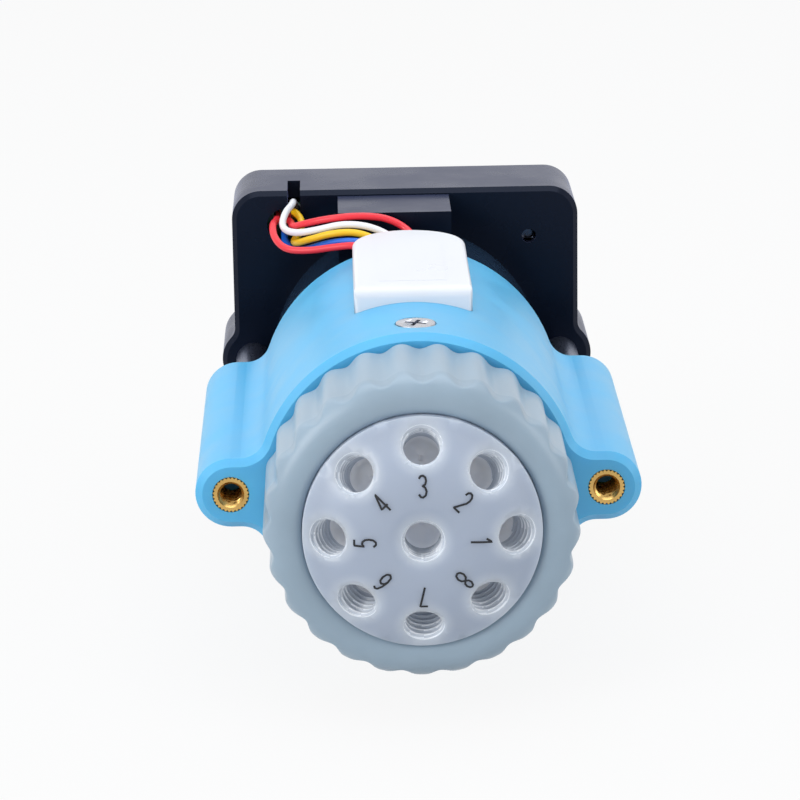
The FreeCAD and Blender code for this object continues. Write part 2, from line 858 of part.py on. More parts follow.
def thrust_bearing():
    bore, outer = size("race_bore"), size("race_radius")
    sleeve("thrust_washer_front", bore, outer, CARRIER_BACK, FRONT_RACE_BACK)
    sleeve("thrust_washer_rear", bore, outer, REAR_RACE_FRONT, SPRING_FRONT)
    middle = (FRONT_RACE_BACK + REAR_RACE_FRONT) / 2
    half = size("cage_thickness") / 2
    cage = turned_body("cage_ring", [
        (bore, middle - half), (outer, middle - half), (outer, middle + half), (bore, middle + half),
    ])
    inner = (bore + outer - size("roller_length")) / 2
    count = int(size("roller_count").number)
    outward = Rotation(Y_AXIS, 90)
    roller = rod("roller", size("roller_radius"), size("roller_length"), at(inner, middle, 0, outward))
    pocket = rod("roller_pocket", size("roller_radius"), size("roller_length"), at(inner, middle, 0, outward))
    doc.recompute()
    turns = [Placement(ORIGIN, about_y(360 * index / count)) for index in range(count)]
    rollers = Part.makeCompound([roller.Shape.transformed(place.toMatrix()) for place in turns])
    pockets = doc.addObject("Part::Feature", "roller_pockets")
    pockets.Shape = Part.makeCompound([pocket.Shape.transformed(place.toMatrix()) for place in turns])
    keep(cut("cage", cage, pockets), "thrust_cage")
    group = doc.addObject("Part::Feature", "rollers")
    group.Shape = rollers
    keep(group, "thrust_rollers")


def disc_springs():
    """Two conical spring washers, small ends together."""
    bore, outer = size("race_bore"), size("race_radius")
    rise, thick = size("spring_rise"), size("spring_thickness")
    front = turned_body("spring_front", [
        (bore, SPRING_FRONT + rise - thick), (outer, SPRING_FRONT), (outer, SPRING_FRONT + thick),
        (bore, SPRING_FRONT + rise),
    ])
    back = turned_body("spring_back", [
        (bore, SPRING_BACK - rise), (outer, SPRING_BACK - thick), (outer, SPRING_BACK),
        (bore, SPRING_BACK - rise + thick),
    ])
    compound("disc_springs", [front, back])


def bearing_block():
    outer, pocket = size("spigot_radius"), size("block_pocket")
    through = size("shaft_radius") + 1
    seat = size("bearing_radius")
    body = turned_body("bearing_block", [
        (pocket, BLOCK_FRONT), (outer, BLOCK_FRONT), (outer, BLOCK_BACK), (seat, BLOCK_BACK),
        (seat, BEARING_FRONT), (through, BEARING_FRONT), (through, SPRING_BACK), (pocket, SPRING_BACK),
    ])
    hole = new_sketch(body, "XY_Plane", size("screw_end"))
    circle(hole, (0, size("screw_station")), size("screw_radius"))
    extrude(body, hole, outer, "Pocket", reverse=True)
    keep(body, "bearing_block")


def shaft_bearing():
    inner, outer, wall = size("shaft_radius"), size("bearing_radius"), size("race_wall")
    sleeve("shaft_bearing_inner", inner, inner + wall, BEARING_FRONT, BLOCK_BACK)
    sleeve("shaft_bearing_outer", outer - wall, outer, BEARING_FRONT, BLOCK_BACK)
    track = (inner + outer) / 2
    ball = doc.addObject("Part::Sphere", "ball")
    radius = (outer - inner) / 2 - wall - size("roller_clearance")
    ball.Radius = radius.number
    ball.setExpression("Radius", radius.text)
    doc.recompute()
    count = int(size("ball_count").number)
    middle = ((BEARING_FRONT + BLOCK_BACK) / 2).number
    places = []
    for index in range(count):
        spot = about_y(360 * index / count).multVec(Vector(track.number, middle, 0))
        places.append(Placement(spot, Rotation()))
    copies("shaft_bearing_balls", ball.Shape, places)


def valve_shaft():
    end = size("coupling_split") - 0.5
    turned("valve_shaft", [
        (0, SEAL_BACK), (size("shaft_radius"), SEAL_BACK), (size("shaft_radius"), end), (0, end),
    ])


def coupling():
    front, step, back = size("coupling_front"), size("coupling_step"), size("coupling_back")
    split, outer, neck = size("coupling_split"), size("coupling_radius"), size("coupling_neck")
    body = turned_body("coupling", [
        (size("shaft_radius"), front), (outer, front), (outer, step), (neck, step), (neck, back),
        (size("output_radius"), back), (size("output_radius"), split), (size("shaft_radius"), split),
    ])
    stations = ((front + split) / 2, (step + back) / 2 + 0.5)
    for station in stations:
        hole = new_sketch(body, "XY_Plane")
        circle(hole, (0, station), size("bolt_radius"))
        extrude(body, hole, outer + 1, "Pocket", reverse=True)
    keep(body, "coupling")
    screws = []
    for station, shaft, surface in zip(stations, (size("shaft_radius"), size("output_radius")), (outer, neck)):
        screws.append(rod("grub_screw", size("bolt_radius"), surface - shaft, at(0, station, shaft)))
    compound("coupling_screws", screws)


def encoder_disc():
    front = size("coupling_step")
    back = front + size("disc_thickness")
    body = turned_body("encoder_disc", [
        (size("coupling_neck"), front), (size("disc_radius"), front), (size("disc_radius"), back),
        (size("coupling_neck"), back),
    ])
    half = size("slot_width") / 2
    slot = new_sketch(body, "XZ_Plane", -front)
    rectangle(slot, (size("slot_inner"), -half), (size("slot_outer"), half))
    hole = extrude(body, slot, size("disc_thickness"), "Pocket")
    around(body, hole, size("disc_slots"))
    keep(body, "encoder_disc")


# Position sensor and its cover

def position_sensor():
    half = size("fork_width") / 2
    body = new_body("optical_fork")
    arm, foot = size("fork_arm"), size("fork_reach")
    bridge = size("disc_radius") + 1
    top = size("board_height")
    outline = [
        (FORK_FRONT, foot), (FORK_FRONT + arm, foot), (FORK_FRONT + arm, bridge), (FORK_BACK - arm, bridge),
        (FORK_BACK - arm, foot), (FORK_BACK, foot), (FORK_BACK, top), (FORK_FRONT, top),
    ]
    sketch = polygon(new_sketch(body, "YZ_Plane"), outline)
    extrude(body, sketch, half * 2, both=True)
    keep(body, "optical_fork")
    side = size("board_width") / 2
    board_top = top + size("board_thickness")
    board = brick("board", (-side, size("board_front"), top), (side, size("board_back"), board_top))
    doc.recompute()
    keep(board, "sensor_board")


def sensor_cover():
    """A tongue-shaped lid: straight sides, a round tail over the leads and a saddle fitted to the housing."""
    half, front, centre = size("cover_half_width"), size("cover_front"), size("cover_round_centre")
    top, wall = size("cover_top"), size("cover_wall")
    base = HOUSING_R - 3

    def tongue(sketch, half_width, start):
        corners = [(-half_width, centre), (-half_width, start), (half_width, start), (half_width, centre)]
        lines = []
        for one, two in zip(corners, corners[1:]):
            lines.append(sketch.addGeometry(Part.LineSegment(flat(one), flat(two)), False))
        ring = Part.Circle(flat((0, centre)), Z_AXIS, half_width.number)
        tail = sketch.addGeometry(Part.ArcOfCircle(ring, 0, math.pi), False)
        order = lines + [tail]
        for one, two in zip(order, order[1:] + order[:1]):
            sketch.addConstraint(Sketcher.Constraint("Coincident", one, 2, two, 1))
        for line, corner in zip(lines, corners):
            pin_point(sketch, line, 1, corner)
        pin_point(sketch, lines[-1], 2, corners[-1])
        rule = sketch.addConstraint(Sketcher.Constraint("DistanceY", -1, 1, tail, 3, centre.number))
        sketch.setExpression(f"Constraints[{rule}]", centre.text)
        return sketch

    body = new_body("sensor_cover")
    blank = extrude(body, tongue(new_sketch(body, "XY_Plane", base), half, front), top - base)

    def upright(edge):
        box = edge.BoundBox
        full_height = near(box.ZMin, base) and near(box.ZMax, top)
        return full_height and near(box.YMin, front) and near(box.YMax, front)

    def on_top(edge):
        return near(edge.BoundBox.ZMin, top) and near(edge.BoundBox.ZMax, top)

    soft = dress(body, blank, "Fillet", size("cover_corner_round"), upright)
    soft = dress(body, soft, "Fillet", size("cover_edge_round"), on_top)

    hollow = tongue(new_sketch(body, "XY_Plane", base), half - wall, front + wall)
    extrude(body, hollow, top - wall - base, "Pocket", reverse=True)

    exit_gap = new_sketch(body, "XY_Plane", base)
    rectangle(exit_gap, (-half - 1, centre + 1), (half - wall * 2, centre + half + 1))
    extrude(body, exit_gap, top - wall - base, "Pocket", reverse=True)

    relief = new_sketch(body, "XY_Plane", top)
    inset = size("ear_blend")
    rectangle(relief, (-half + inset, front + inset), (half - inset, centre - inset / 2))
    extrude(body, relief, size("panel_relief"))

    saddle = rod("saddle", HOUSING_R, HOUSING_BACK + 10, at(0, 0, 0, ALONG_Y))
    keep(cut("cover_cut", body, saddle), "sensor_cover")


# Gears of the planetary stage

def involute(base_radius, radius):
    pressure = math.acos(min(1.0, base_radius / radius))
    return math.tan(pressure) - pressure


def gear_wire(teeth, tip, foot, widen):
    """A closed gear outline in the XZ plane: root arc, flank, tip arc, flank, for each tooth.

    Flanks are arcs through three involute points. widen makes the tooth thicker at the pitch circle.
    """
    module = size("gear_module").number
    pitch = module * teeth / 2
    pressure = math.radians(25)
    base = pitch * math.cos(pressure)
    thickness = (math.pi * module / 2 + widen) / pitch / 2
    start = max(base, foot)

    def half_angle(radius):
        return thickness + involute(base, pitch) - involute(base, max(radius, base))

    def point(radius, angle):
        return Vector(radius * math.cos(angle), 0, radius * math.sin(angle))

    step = 2 * math.pi / teeth
    edges = []
    for index in range(teeth):
        middle = index * step
        flank = [start, (start + tip) / 2, tip]
        rising = [point(radius, middle - half_angle(radius)) for radius in flank]
        falling = [point(radius, middle + half_angle(radius)) for radius in reversed(flank)]
        before = point(foot, middle - half_angle(start))
        after = point(foot, middle + half_angle(start))
        following = point(foot, middle + step - half_angle(start))
        if start > foot + 1e-6:
            edges.append(Part.LineSegment(before, rising[0]).toShape())
        edges.append(Part.Arc(*rising).toShape())
        edges.append(Part.Arc(rising[2], point(tip, middle), falling[0]).toShape())
        edges.append(Part.Arc(*falling).toShape())
        if start > foot + 1e-6:
            edges.append(Part.LineSegment(falling[2], after).toShape())
        edges.append(Part.Arc(after, point(foot, middle + step / 2), following).toShape())
    return Part.Wire(edges)


SUN_TEETH = int(size("sun_teeth").number)
PLANET_TEETH = int(size("planet_teeth").number)
RING_TEETH = SUN_TEETH + 2 * PLANET_TEETH
MODULE = size("gear_module").number
PLANET_ORBIT = MODULE * (SUN_TEETH + PLANET_TEETH) / 2
CARRIER_FRONT = STAGE_FRONT + size("gear_gap")
CARRIER_END = CARRIER_FRONT + size("carrier_disc_thickness")
GEAR_FRONT = CARRIER_END + size("gear_gap")
GEAR_BACK = GEAR_FRONT + size("gear_width")


def gear(label, teeth, bore, start, length, place, phase=0.0):
    """An external spur gear with a plain bore, its axis along Y at a place."""
    pitch = MODULE * teeth / 2
    backlash = size("gear_backlash").number
    wire = gear_wire(teeth, pitch + 0.8 * MODULE, pitch - 1.05 * MODULE, -backlash)
    blank = Part.Face(wire).extrude(Vector(0, length, 0))
    hole = Part.makeCylinder(bore, length, ORIGIN, Y_AXIS)
    item = doc.addObject("Part::Feature", label + "_gear")
    item.Shape = blank.cut(hole)
    item.Placement = Placement(Vector(place[0], start, place[1]), about_y(phase))
    keep(item, label)


def gears():
    width = size("gear_width").number
    gear("sun_gear", SUN_TEETH, size("sun_bore").number, GEAR_FRONT.number, width, (0, 0))
    bore = (size("planet_pin_radius") + size("running_fit")).number
    count = int(size("planet_count").number)
    for index in range(count):
        angle = 360 * index / count
        spot = about_y(angle).multVec(Vector(PLANET_ORBIT, 0, 0))
        phase = angle + 180 / PLANET_TEETH
        label = f"planet_gear_{index + 1}"
        gear(label, PLANET_TEETH, bore, GEAR_FRONT.number, width, (spot.x, spot.z), phase)


def ring_gear():
    """The gearbox casing with the internal teeth cut in it, and the screw holes that clamp the stage."""
    pitch = MODULE * RING_TEETH / 2
    backlash = size("gear_backlash").number
    length = size("gear_stage_length").number
    wire = gear_wire(RING_TEETH, pitch + 1.05 * MODULE, pitch - 0.8 * MODULE, backlash)
    blank = Part.makeCylinder(MOTOR_R.number, length, ORIGIN, Y_AXIS)
    blank = blank.cut(Part.Face(wire).extrude(Vector(0, length, 0)))
    item = doc.addObject("Part::Feature", "ring_gear_casing")
    item.Shape = blank
    item.Placement = Placement(Vector(0, STAGE_FRONT.number, 0), about_y(180 / RING_TEETH))
    keep(cut("ring_gear_cut", item, tie_holes()), "ring_gear")


def output_carrier():
    body = turned_body("output_carrier", [
        (0, size("coupling_split")), (size("output_radius"), size("coupling_split")),
        (size("output_radius"), CARRIER_FRONT), (size("carrier_disc_radius"), CARRIER_FRONT),
        (size("carrier_disc_radius"), CARRIER_END), (0, CARRIER_END),
    ])
    keep(body, "output_carrier")
    pin = rod("planet_pin", size("planet_pin_radius"), GEAR_BACK - CARRIER_END + 0.4, at())
    doc.recompute()
    count = int(size("planet_count").number)
    places = []
    for index in range(count):
        foot = about_y(360 * index / count).multVec(Vector(PLANET_ORBIT, CARRIER_END.number, 0))
        places.append(Placement(foot, ALONG_Y))
    copies("planet_pins", pin.Shape, places)


def tie_places(station):
    count = int(size("tie_count").number)
    places = []
    for index in range(count):
        foot = about_y(45 + 360 * index / count).multVec(Vector(size("tie_circle").number, float(station), 0))
        places.append(Placement(foot, ALONG_Y))
    return places


def tie_holes():
    hole = Part.makeCylinder(size("tie_radius").number, (MOTOR_FRONT - GEARBOX_FRONT).number + 2)
    shapes = [hole.transformed(place.toMatrix()) for place in tie_places(GEARBOX_FRONT - 1)]
    item = doc.addObject("Part::Feature", "tie_holes")
    item.Shape = Part.makeCompound(shapes)
    return item


def gearbox_ends():
    bush = size("bush_radius")
    front = turned_body("gearbox_plate", [
        (bush, GEARBOX_FRONT), (MOTOR_R, GEARBOX_FRONT), (MOTOR_R, STAGE_FRONT), (bush, STAGE_FRONT),
    ])
    keep(cut("gearbox_plate_cut", front, tie_holes()), "gearbox_front_plate")
    back = turned_body("motor_plate", [
        (bush, STAGE_BACK), (MOTOR_R, STAGE_BACK), (MOTOR_R, MOTOR_FRONT), (bush, MOTOR_FRONT),
    ])
    keep(cut("motor_plate_cut", back, tie_holes()), "motor_front_plate")
    shank = rod("tie_shank", size("tie_radius"), MOTOR_FRONT - GEARBOX_FRONT, at())
    head_height = size("tie_head_height")
    head = rod("tie_head", size("tie_head_radius"), head_height, at(0, 0, -head_height))
    screw = fuse("tie_screw", [shank, head])
    copies("gearbox_screws", screw.Shape, tie_places(GEARBOX_FRONT))


# Stepper motor

def shaft_bushes():
    outer, fit = size("bush_radius"), size("running_fit")
    spans = [
        (size("output_radius"), GEARBOX_FRONT, STAGE_FRONT),
        (size("motor_shaft_radius"), STAGE_BACK, MOTOR_FRONT),
        (size("motor_shaft_radius"), BOX_FRONT - size("motor_end") * 2, BOX_FRONT - size("motor_end") / 2),
    ]
    bodies = []
    for bore, start, end in spans:
        inner = bore + fit
        bodies.append(turned_body("bush", [(inner, start), (outer, start), (outer, end), (inner, end)]))
    compound("shaft_bushes", bodies)


def motor():
    inner = MOTOR_R - size("motor_wall")
    bush, end = size("bush_radius"), size("motor_end")
    bush_front, bush_back = BOX_FRONT - end * 2, BOX_FRONT - end / 2
    turned("motor_can", [
        (inner, MOTOR_FRONT), (MOTOR_R, MOTOR_FRONT), (MOTOR_R, BOX_FRONT), (0, BOX_FRONT), (0, bush_back),
        (bush, bush_back), (bush, bush_front), (bush + end, bush_front), (bush + end, BOX_FRONT - end),
        (inner, BOX_FRONT - end),
    ])
    stack_front = size("stack_start")
    stack_back = stack_front + size("stack_length")
    rotor, gap, shaft = size("rotor_radius"), size("air_gap"), size("motor_shaft_radius")
    sleeve("motor_stator", rotor + gap, inner, stack_front, stack_back)
    sleeve("motor_rotor", shaft, rotor, stack_front, stack_back)
    winding, length = size("winding_radius"), size("winding_length")
    coils = []
    for start in (stack_front - length, stack_back):
        coils.append(turned_body("winding", [
            (rotor + gap, start), (winding, start), (winding, start + length), (rotor + gap, start + length),
        ]))
    compound("motor_windings", coils)
    step = STAGE_BACK
    turned("motor_shaft", [
        (0, GEAR_FRONT), (size("sun_bore"), GEAR_FRONT), (size("sun_bore"), step), (shaft, step),
        (shaft, BOX_FRONT - end), (0, BOX_FRONT - end),
    ])


def terminal_cover():
    """The block over the motor's terminals, hollow underneath and saddled on the motor."""
    left, right, top = -size("block_left"), size("block_right"), BOX_HALF - size("block_drop")
    front, wall = BOX_FRONT - size("block_depth"), size("block_wall")
    base = MOTOR_R - 4
    outside = brick("block_outside", (left, front, base), (right, BOX_FRONT, top))
    inner_corner = (right - wall, BOX_FRONT - wall, top - wall)
    inside = brick("block_inside", (left + wall, front + wall, base), inner_corner)
    saddle = rod("block_saddle", MOTOR_R, BOX_FRONT, at(0, 0, 0, ALONG_Y))
    block = cut("block_hollow", outside, inside)
    keep(cut("block_cut", block, saddle), "terminal_cover")


# Posts, long screws and the rear box

def posts_and_bolts():
    length = BOX_FRONT - HOUSING_BACK
    bore, outer = size("bolt_radius"), size("post_radius")
    post = turned_body("post", [(bore, 0), (outer, 0), (outer, length), (bore, length)])
    copies("spacer_posts", post.Shape, [at(-LOBE_X, HOUSING_BACK), at(LOBE_X, HOUSING_BACK)])
    seat = BOX_BACK - size("bolt_recess")
    head = size("bolt_head_radius")
    reach = HOUSING_BACK - size("bolt_grip")
    bolt = turned_body("bolt", [
        (0, reach), (size("bolt_radius"), reach), (size("bolt_radius"), seat), (head, seat),
        (head, seat + size("bolt_head_height")), (0, seat + size("bolt_head_height")),
    ])
    copies("long_screws", bolt.Shape, [at(-LOBE_X), at(LOBE_X)])


def rear_housing():
    body = new_body("rear_housing")
    half = BOX_HALF
    base = rectangle(new_sketch(body, "XZ_Plane", -BOX_FRONT), (-half, -half), (half, half))
    shell = extrude(body, base, size("box_depth"), reverse=True)

    def at_corner(edge):
        box = edge.BoundBox
        upright = near(box.YMax - box.YMin, size("box_depth"))
        return upright and near(abs(box.XMin), half) and near(abs(box.ZMin), half)

    shell = dress(body, shell, "Fillet", size("box_corner"), at_corner)
    lobes = new_sketch(body, "XZ_Plane", -BOX_FRONT)
    slot_outline(lobes, LOBE_REACH - size("lobe_radius"), size("lobe_radius"))
    shell = extrude(body, lobes, size("box_depth"), reverse=True)

    def at_lobe(edge):
        box = edge.BoundBox
        upright = near(box.YMax - box.YMin, size("box_depth"))
        return upright and near(abs(box.XMin), half) and abs(box.ZMin) < size("lobe_radius").number + 0.01

    shell = dress(body, shell, "Fillet", size("lobe_blend"), at_lobe)

    def on_front(edge):
        return near(edge.BoundBox.YMin, BOX_FRONT) and near(edge.BoundBox.YMax, BOX_FRONT)

    dress(body, shell, "Chamfer", size("box_bevel"), on_front)

    room = new_sketch(body, "XZ_Plane", -CAVITY_FRONT)
    rectangle(room, (-CAVITY_HALF, -CAVITY_HALF), (CAVITY_HALF, CAVITY_HALF))
    extrude(body, room, size("box_depth"), "Pocket")

    columns = new_sketch(body, "XZ_Plane", -CAVITY_FRONT)
    for side in (-LOBE_X, LOBE_X):
        circle(columns, (side, 0), size("lobe_radius"))
    extrude(body, columns, size("box_depth") - size("box_wall"), reverse=True)

    bosses = new_sketch(body, "XZ_Plane", -CAVITY_FRONT)
    for spot in BOSS_SPOTS:
        circle(bosses, spot, size("boss_radius"))
    boss_length = BOX_BACK - size("cover_plate") - CAVITY_FRONT
    extrude(body, bosses, boss_length, reverse=True)

    standoffs = new_sketch(body, "XZ_Plane", -CAVITY_FRONT)
    for spot in FRONT_SCREW_SPOTS:
        circle(standoffs, spot, size("boss_radius"))
    extrude(body, standoffs, size("control_board_station") - CAVITY_FRONT, reverse=True)

    screw_holes = new_sketch(body, "XZ_Plane", -BOX_FRONT)
    for spot in FRONT_SCREW_SPOTS:
        circle(screw_holes, spot, size("front_screw_radius"))
    extrude(body, screw_holes, size("control_board_station") - BOX_FRONT, "Pocket")

    plate_holes = new_sketch(body, "XZ_Plane", -CAVITY_FRONT)
    for spot in BOSS_SPOTS:
        circle(plate_holes, spot, size("plate_screw_radius"))
    extrude(body, plate_holes, size("box_depth"), "Pocket")

    bolt_holes = new_sketch(body, "XZ_Plane", -BOX_FRONT)
    for side in (-LOBE_X, LOBE_X):
        circle(bolt_holes, (side, 0), size("bolt_radius") + size("hole_clearance"))
    extrude(body, bolt_holes, size("box_depth"), "Pocket")

    recesses = new_sketch(body, "XZ_Plane", -(BOX_BACK - size("bolt_recess")))
    for side in (-LOBE_X, LOBE_X):
        circle(recesses, (side, 0), size("bolt_head_radius") + size("head_clearance"))
    extrude(body, recesses, size("bolt_recess"), "Pocket")

    wire_hole = new_sketch(body, "XZ_Plane", -BOX_FRONT)
    circle(wire_hole, (size("wire_hole_x"), size("wire_hole_z")), size("wire_hole_radius"))
    extrude(body, wire_hole, size("box_wall"), "Pocket")

    wire_slot = new_sketch(body, "XZ_Plane", -BOX_FRONT)
    slot_x, slot_half = size("wire_slot_x"), size("wire_slot_width") / 2
    rectangle(wire_slot, (slot_x - slot_half, size("wire_hole_z")), (slot_x + slot_half, half + 1))
    extrude(body, wire_slot, size("wire_slot_depth"), "Pocket")
    keep(body, "rear_housing")


def rear_cover():
    body = new_body("rear_cover")
    half = CAVITY_HALF - size("plate_clearance")
    front = BOX_BACK - size("cover_plate")
    plate = rectangle(new_sketch(body, "XZ_Plane", -front), (-half, -half), (half, half))
    extrude(body, plate, size("cover_plate"), reverse=True)
    ears = new_sketch(body, "XZ_Plane", -front)
    for side in (-LOBE_X, LOBE_X):
        circle(ears, (side, 0), size("lobe_radius") + size("plate_clearance"))
    extrude(body, ears, size("cover_plate"), "Pocket")
    holes = new_sketch(body, "XZ_Plane", -front)
    for spot in BOSS_SPOTS:
        circle(holes, spot, size("plate_screw_radius") + size("hole_clearance"))
    extrude(body, holes, size("cover_plate"), "Pocket")
    sink = size("cover_plate") / 2
    sinks = new_sketch(body, "XZ_Plane", -(BOX_BACK - sink))
    for spot in BOSS_SPOTS:
        circle(sinks, spot, size("plate_head_radius") + size("hole_clearance"))
    extrude(body, sinks, sink, "Pocket")
    gap = size("plate_clearance")
    wide, high = size("socket_width") / 2 + gap, size("socket_height") / 2 + gap
    opening = new_sketch(body, "XZ_Plane", -front)
    rectangle(opening, (-wide, -high), (wide, high))
    extrude(body, opening, size("cover_plate"), "Pocket")
    keep(body, "rear_cover")
    seat = BOX_BACK - sink
    tip = seat - size("plate_screw_length")
    shank, head = size("plate_screw_radius"), size("plate_head_radius")
    screw = turned_body("plate_screw", [
        (0, tip), (shank, tip), (shank, seat), (head, seat), (head, BOX_BACK), (0, BOX_BACK),
    ])
    copies("cover_screws", screw.Shape, [at(float(spot[0]), 0, float(spot[1])) for spot in BOSS_SPOTS])


def control_board():
    station, thick = size("control_board_station"), size("control_board_thickness")
    half = CAVITY_HALF - size("control_board_gap")
    body = new_body("control_board")
    base = rectangle(new_sketch(body, "XZ_Plane", -station), (-half, -half), (half, half))
    extrude(body, base, thick, reverse=True)
    room = new_sketch(body, "XZ_Plane", -station)
    for spot in BOSS_SPOTS:
        circle(room, spot, size("boss_radius") + size("head_clearance"))
    extrude(body, room, thick, "Pocket")
    sides = new_sketch(body, "XZ_Plane", -station)
    for side in (-LOBE_X, LOBE_X):
        circle(sides, (side, 0), size("lobe_radius") + size("head_clearance"))
    extrude(body, sides, thick, "Pocket")
    holes = new_sketch(body, "XZ_Plane", -station)
    for spot in FRONT_SCREW_SPOTS:
        circle(holes, spot, size("front_screw_radius"))
    extrude(body, holes, thick, "Pocket")
    keep(body, "control_board")
    back = station + thick
    chips = []
    # Left, bottom, right and top edges as shares of the board's half width, and a share of the chip height
    layout = {
        "processor": (-0.7, 0.3, -0.3, 0.7, 1.0),
        "driver": (0.25, 0.35, 0.5, 0.6, 0.9),
        "regulator": (-0.65, -0.8, -0.4, -0.55, 1.8),
        "transceiver": (0.2, -0.75, 0.4, -0.6, 1.5),
    }
    for chip, (left, bottom, right, top, rise) in layout.items():
        low = (half * left, back, half * bottom)
        chips.append(brick(chip, low, (half * right, back + size("chip_height") * rise, half * top)))
    compound("board_components", chips)
    tip = BOX_FRONT + size("front_screw_depth")
    head_end = back + size("front_head_height")
    shank, head = size("front_screw_radius"), size("plate_head_radius")
    screw = turned_body("front_screw", [
        (0, tip), (shank, tip), (shank, back), (head, back), (head, head_end), (0, head_end),
    ])
    copies("front_screws", screw.Shape, [at(float(spot[0]), 0, float(spot[1])) for spot in FRONT_SCREW_SPOTS])


def interface_connector():
    wide, high, wall = size("socket_width") / 2, size("socket_height") / 2, size("socket_wall")
    front = size("control_board_station") + size("control_board_thickness")
    back = size("socket_back")
    body = new_body("interface_connector")
    outside = rectangle(new_sketch(body, "XZ_Plane", -front), (-wide, -high), (wide, high))
    extrude(body, outside, back - front, reverse=True)
    socket = new_sketch(body, "XZ_Plane", -(back - size("socket_depth")))
    rectangle(socket, (-wide + wall, -high + wall), (wide - wall, high - wall))
    extrude(body, socket, size("socket_depth"), "Pocket")
    half = size("contact_size") / 2
    floor = back - size("socket_depth")
    count = int(size("contact_count").number)
    pins, holes = [], new_sketch(body, "XZ_Plane", -(front + 1))
    for index in range(count):
        x = size("contact_pitch") * (index - (count - 1) / 2)
        rectangle(holes, (x - half, -half), (x + half, half))
        tip = (x + half, floor + size("contact_reach"), half)
        pins.append(brick("contact", (x - half, front + 1, -half), tip))
    extrude(body, holes, floor - front, "Pocket")
    keep(body, "interface_connector")
    compound("connector_pins", pins)


# Leads from the sensor board to the control board

LEADS = {
    "lead_red_upper": [
        (1.5, 44.0, 25.0), (1.5, 51.0, 25.0), (1.4, 57.9, 25.0), (0.7, 62.6, 26.3),
        (-3.0, 63.8, 28.4), (-7.8, 64.0, 28.9), (-12.9, 64.4, 28.4), (-17.1, 66.7, 27.1),
        (-19.5, 69.9, 25.7), (-19.6, 74.6, 25.3), (-20.0, 79.4, 24.6), (-20.4, 83.2, 24.0),
        (-20.4, 86.6, 24.0),
    ],
    "lead_white": [
        (-0.2, 44.0, 25.0), (-0.2, 51.0, 25.0), (-0.6, 57.2, 25.1), (-2.7, 61.1, 25.9),
        (-6.3, 62.0, 27.5), (-10.7, 62.8, 27.8), (-15.0, 64.2, 26.5), (-18.9, 66.3, 25.4),
        (-21.3, 69.9, 25.5), (-20.8, 74.0, 27.2), (-19.3, 77.6, 28.1), (-19.4, 81.2, 27.7),
        (-18.8, 84.0, 26.0), (-18.3, 86.6, 25.2),
    ],
    "lead_yellow": [
        (-1.9, 44.0, 25.0), (-1.9, 50.5, 25.0), (-2.3, 56.4, 25.1), (-4.8, 60.2, 25.4),
        (-8.5, 61.3, 26.7), (-12.6, 62.0, 26.4), (-16.3, 63.8, 25.0), (-19.0, 66.7, 23.6),
        (-19.3, 70.6, 23.2), (-18.2, 73.0, 23.8), (-17.7, 75.6, 25.6), (-19.3, 78.8, 26.6),
        (-19.1, 82.8, 24.9), (-18.8, 86.6, 23.4),
    ],
    "lead_blue": [
        (-3.6, 44.0, 25.0), (-3.6, 50.0, 25.0), (-4.3, 55.6, 25.1), (-6.9, 59.4, 25.3),
        (-10.6, 61.0, 25.3), (-14.2, 63.2, 24.2), (-17.3, 66.2, 22.5), (-19.7, 70.4, 21.6),
        (-20.8, 75.2, 21.8), (-21.0, 80.6, 22.2), (-21.0, 86.6, 22.2),
    ],
    "lead_red_lower": [
        (-5.3, 44.0, 25.0), (-5.3, 49.5, 25.0), (-6.1, 54.4, 25.2), (-8.6, 58.2, 25.2),
        (-12.4, 60.2, 24.4), (-16.6, 61.6, 23.5), (-20.6, 63.4, 23.3), (-22.6, 67.0, 24.6),
        (-22.9, 71.6, 25.9), (-22.2, 76.4, 25.4), (-22.2, 81.4, 24.8), (-22.2, 86.6, 24.8),
    ],
}


def lead(label, places):
    """A round lead along straight runs joined by tangent arcs, each as large as its runs allow."""
    points = [Vector(*place) for place in places]
    radius = LEAD_RADIUS.number
    edges, start, radii = [], points[0], []
    for before, corner, after in zip(points, points[1:], points[2:]):
        entry = (before - corner).normalize()
        leave = (after - corner).normalize()
        turn_angle = math.pi - entry.getAngle(leave)
        run = min((before - corner).Length, (after - corner).Length)
        setback = 0.45 * run
        bend = setback / math.tan(turn_angle / 2)
        radii.append(bend)
        first = corner + entry * setback
        last = corner + leave * setback
        middle_way = (entry + leave).normalize()
        centre = corner + middle_way * (bend / math.cos(turn_angle / 2))
        middle = centre - middle_way * bend
        edges.append(Part.LineSegment(start, first).toShape())
        edges.append(Part.Arc(first, middle, last).toShape())
        start = last
    edges.append(Part.LineSegment(start, points[-1]).toShape())
    path = Part.Wire(edges)
    heading = points[1] - points[0]
    section = Part.Wire(Part.makeCircle(radius, points[0], heading))
    tube = path.makePipeShell([section], True, False)
    item = doc.addObject("Part::Feature", label + "_tube")
    item.Shape = tube
    expected = math.pi * radius ** 2 * path.Length
    print(f"{label}: length {path.Length:.2f}, volume ratio {tube.Volume / expected:.4f},",
          "radii", " ".join(f"{value:.1f}" for value in radii))
    keep(item, label)


def build():
    valve_housing()
    housing_inserts()
    housing_screw()
    stator_head()
    head_pins()
    slip_ring()
    ring_nut()
    rotor_seal()
    rotor_carrier()
    drive_pins()
    thrust_bearing()
    disc_springs()
    bearing_block()
    shaft_bearing()
    valve_shaft()
    coupling()
    encoder_disc()
    position_sensor()
    sensor_cover()
    gears()
    ring_gear()
    output_carrier()
    gearbox_ends()
    shaft_bushes()
    motor()
    terminal_cover()
    posts_and_bolts()
    rear_housing()
    rear_cover()
    control_board()
    interface_connector()
    for label, places in LEADS.items():
        lead(label, places)
    doc.recompute()


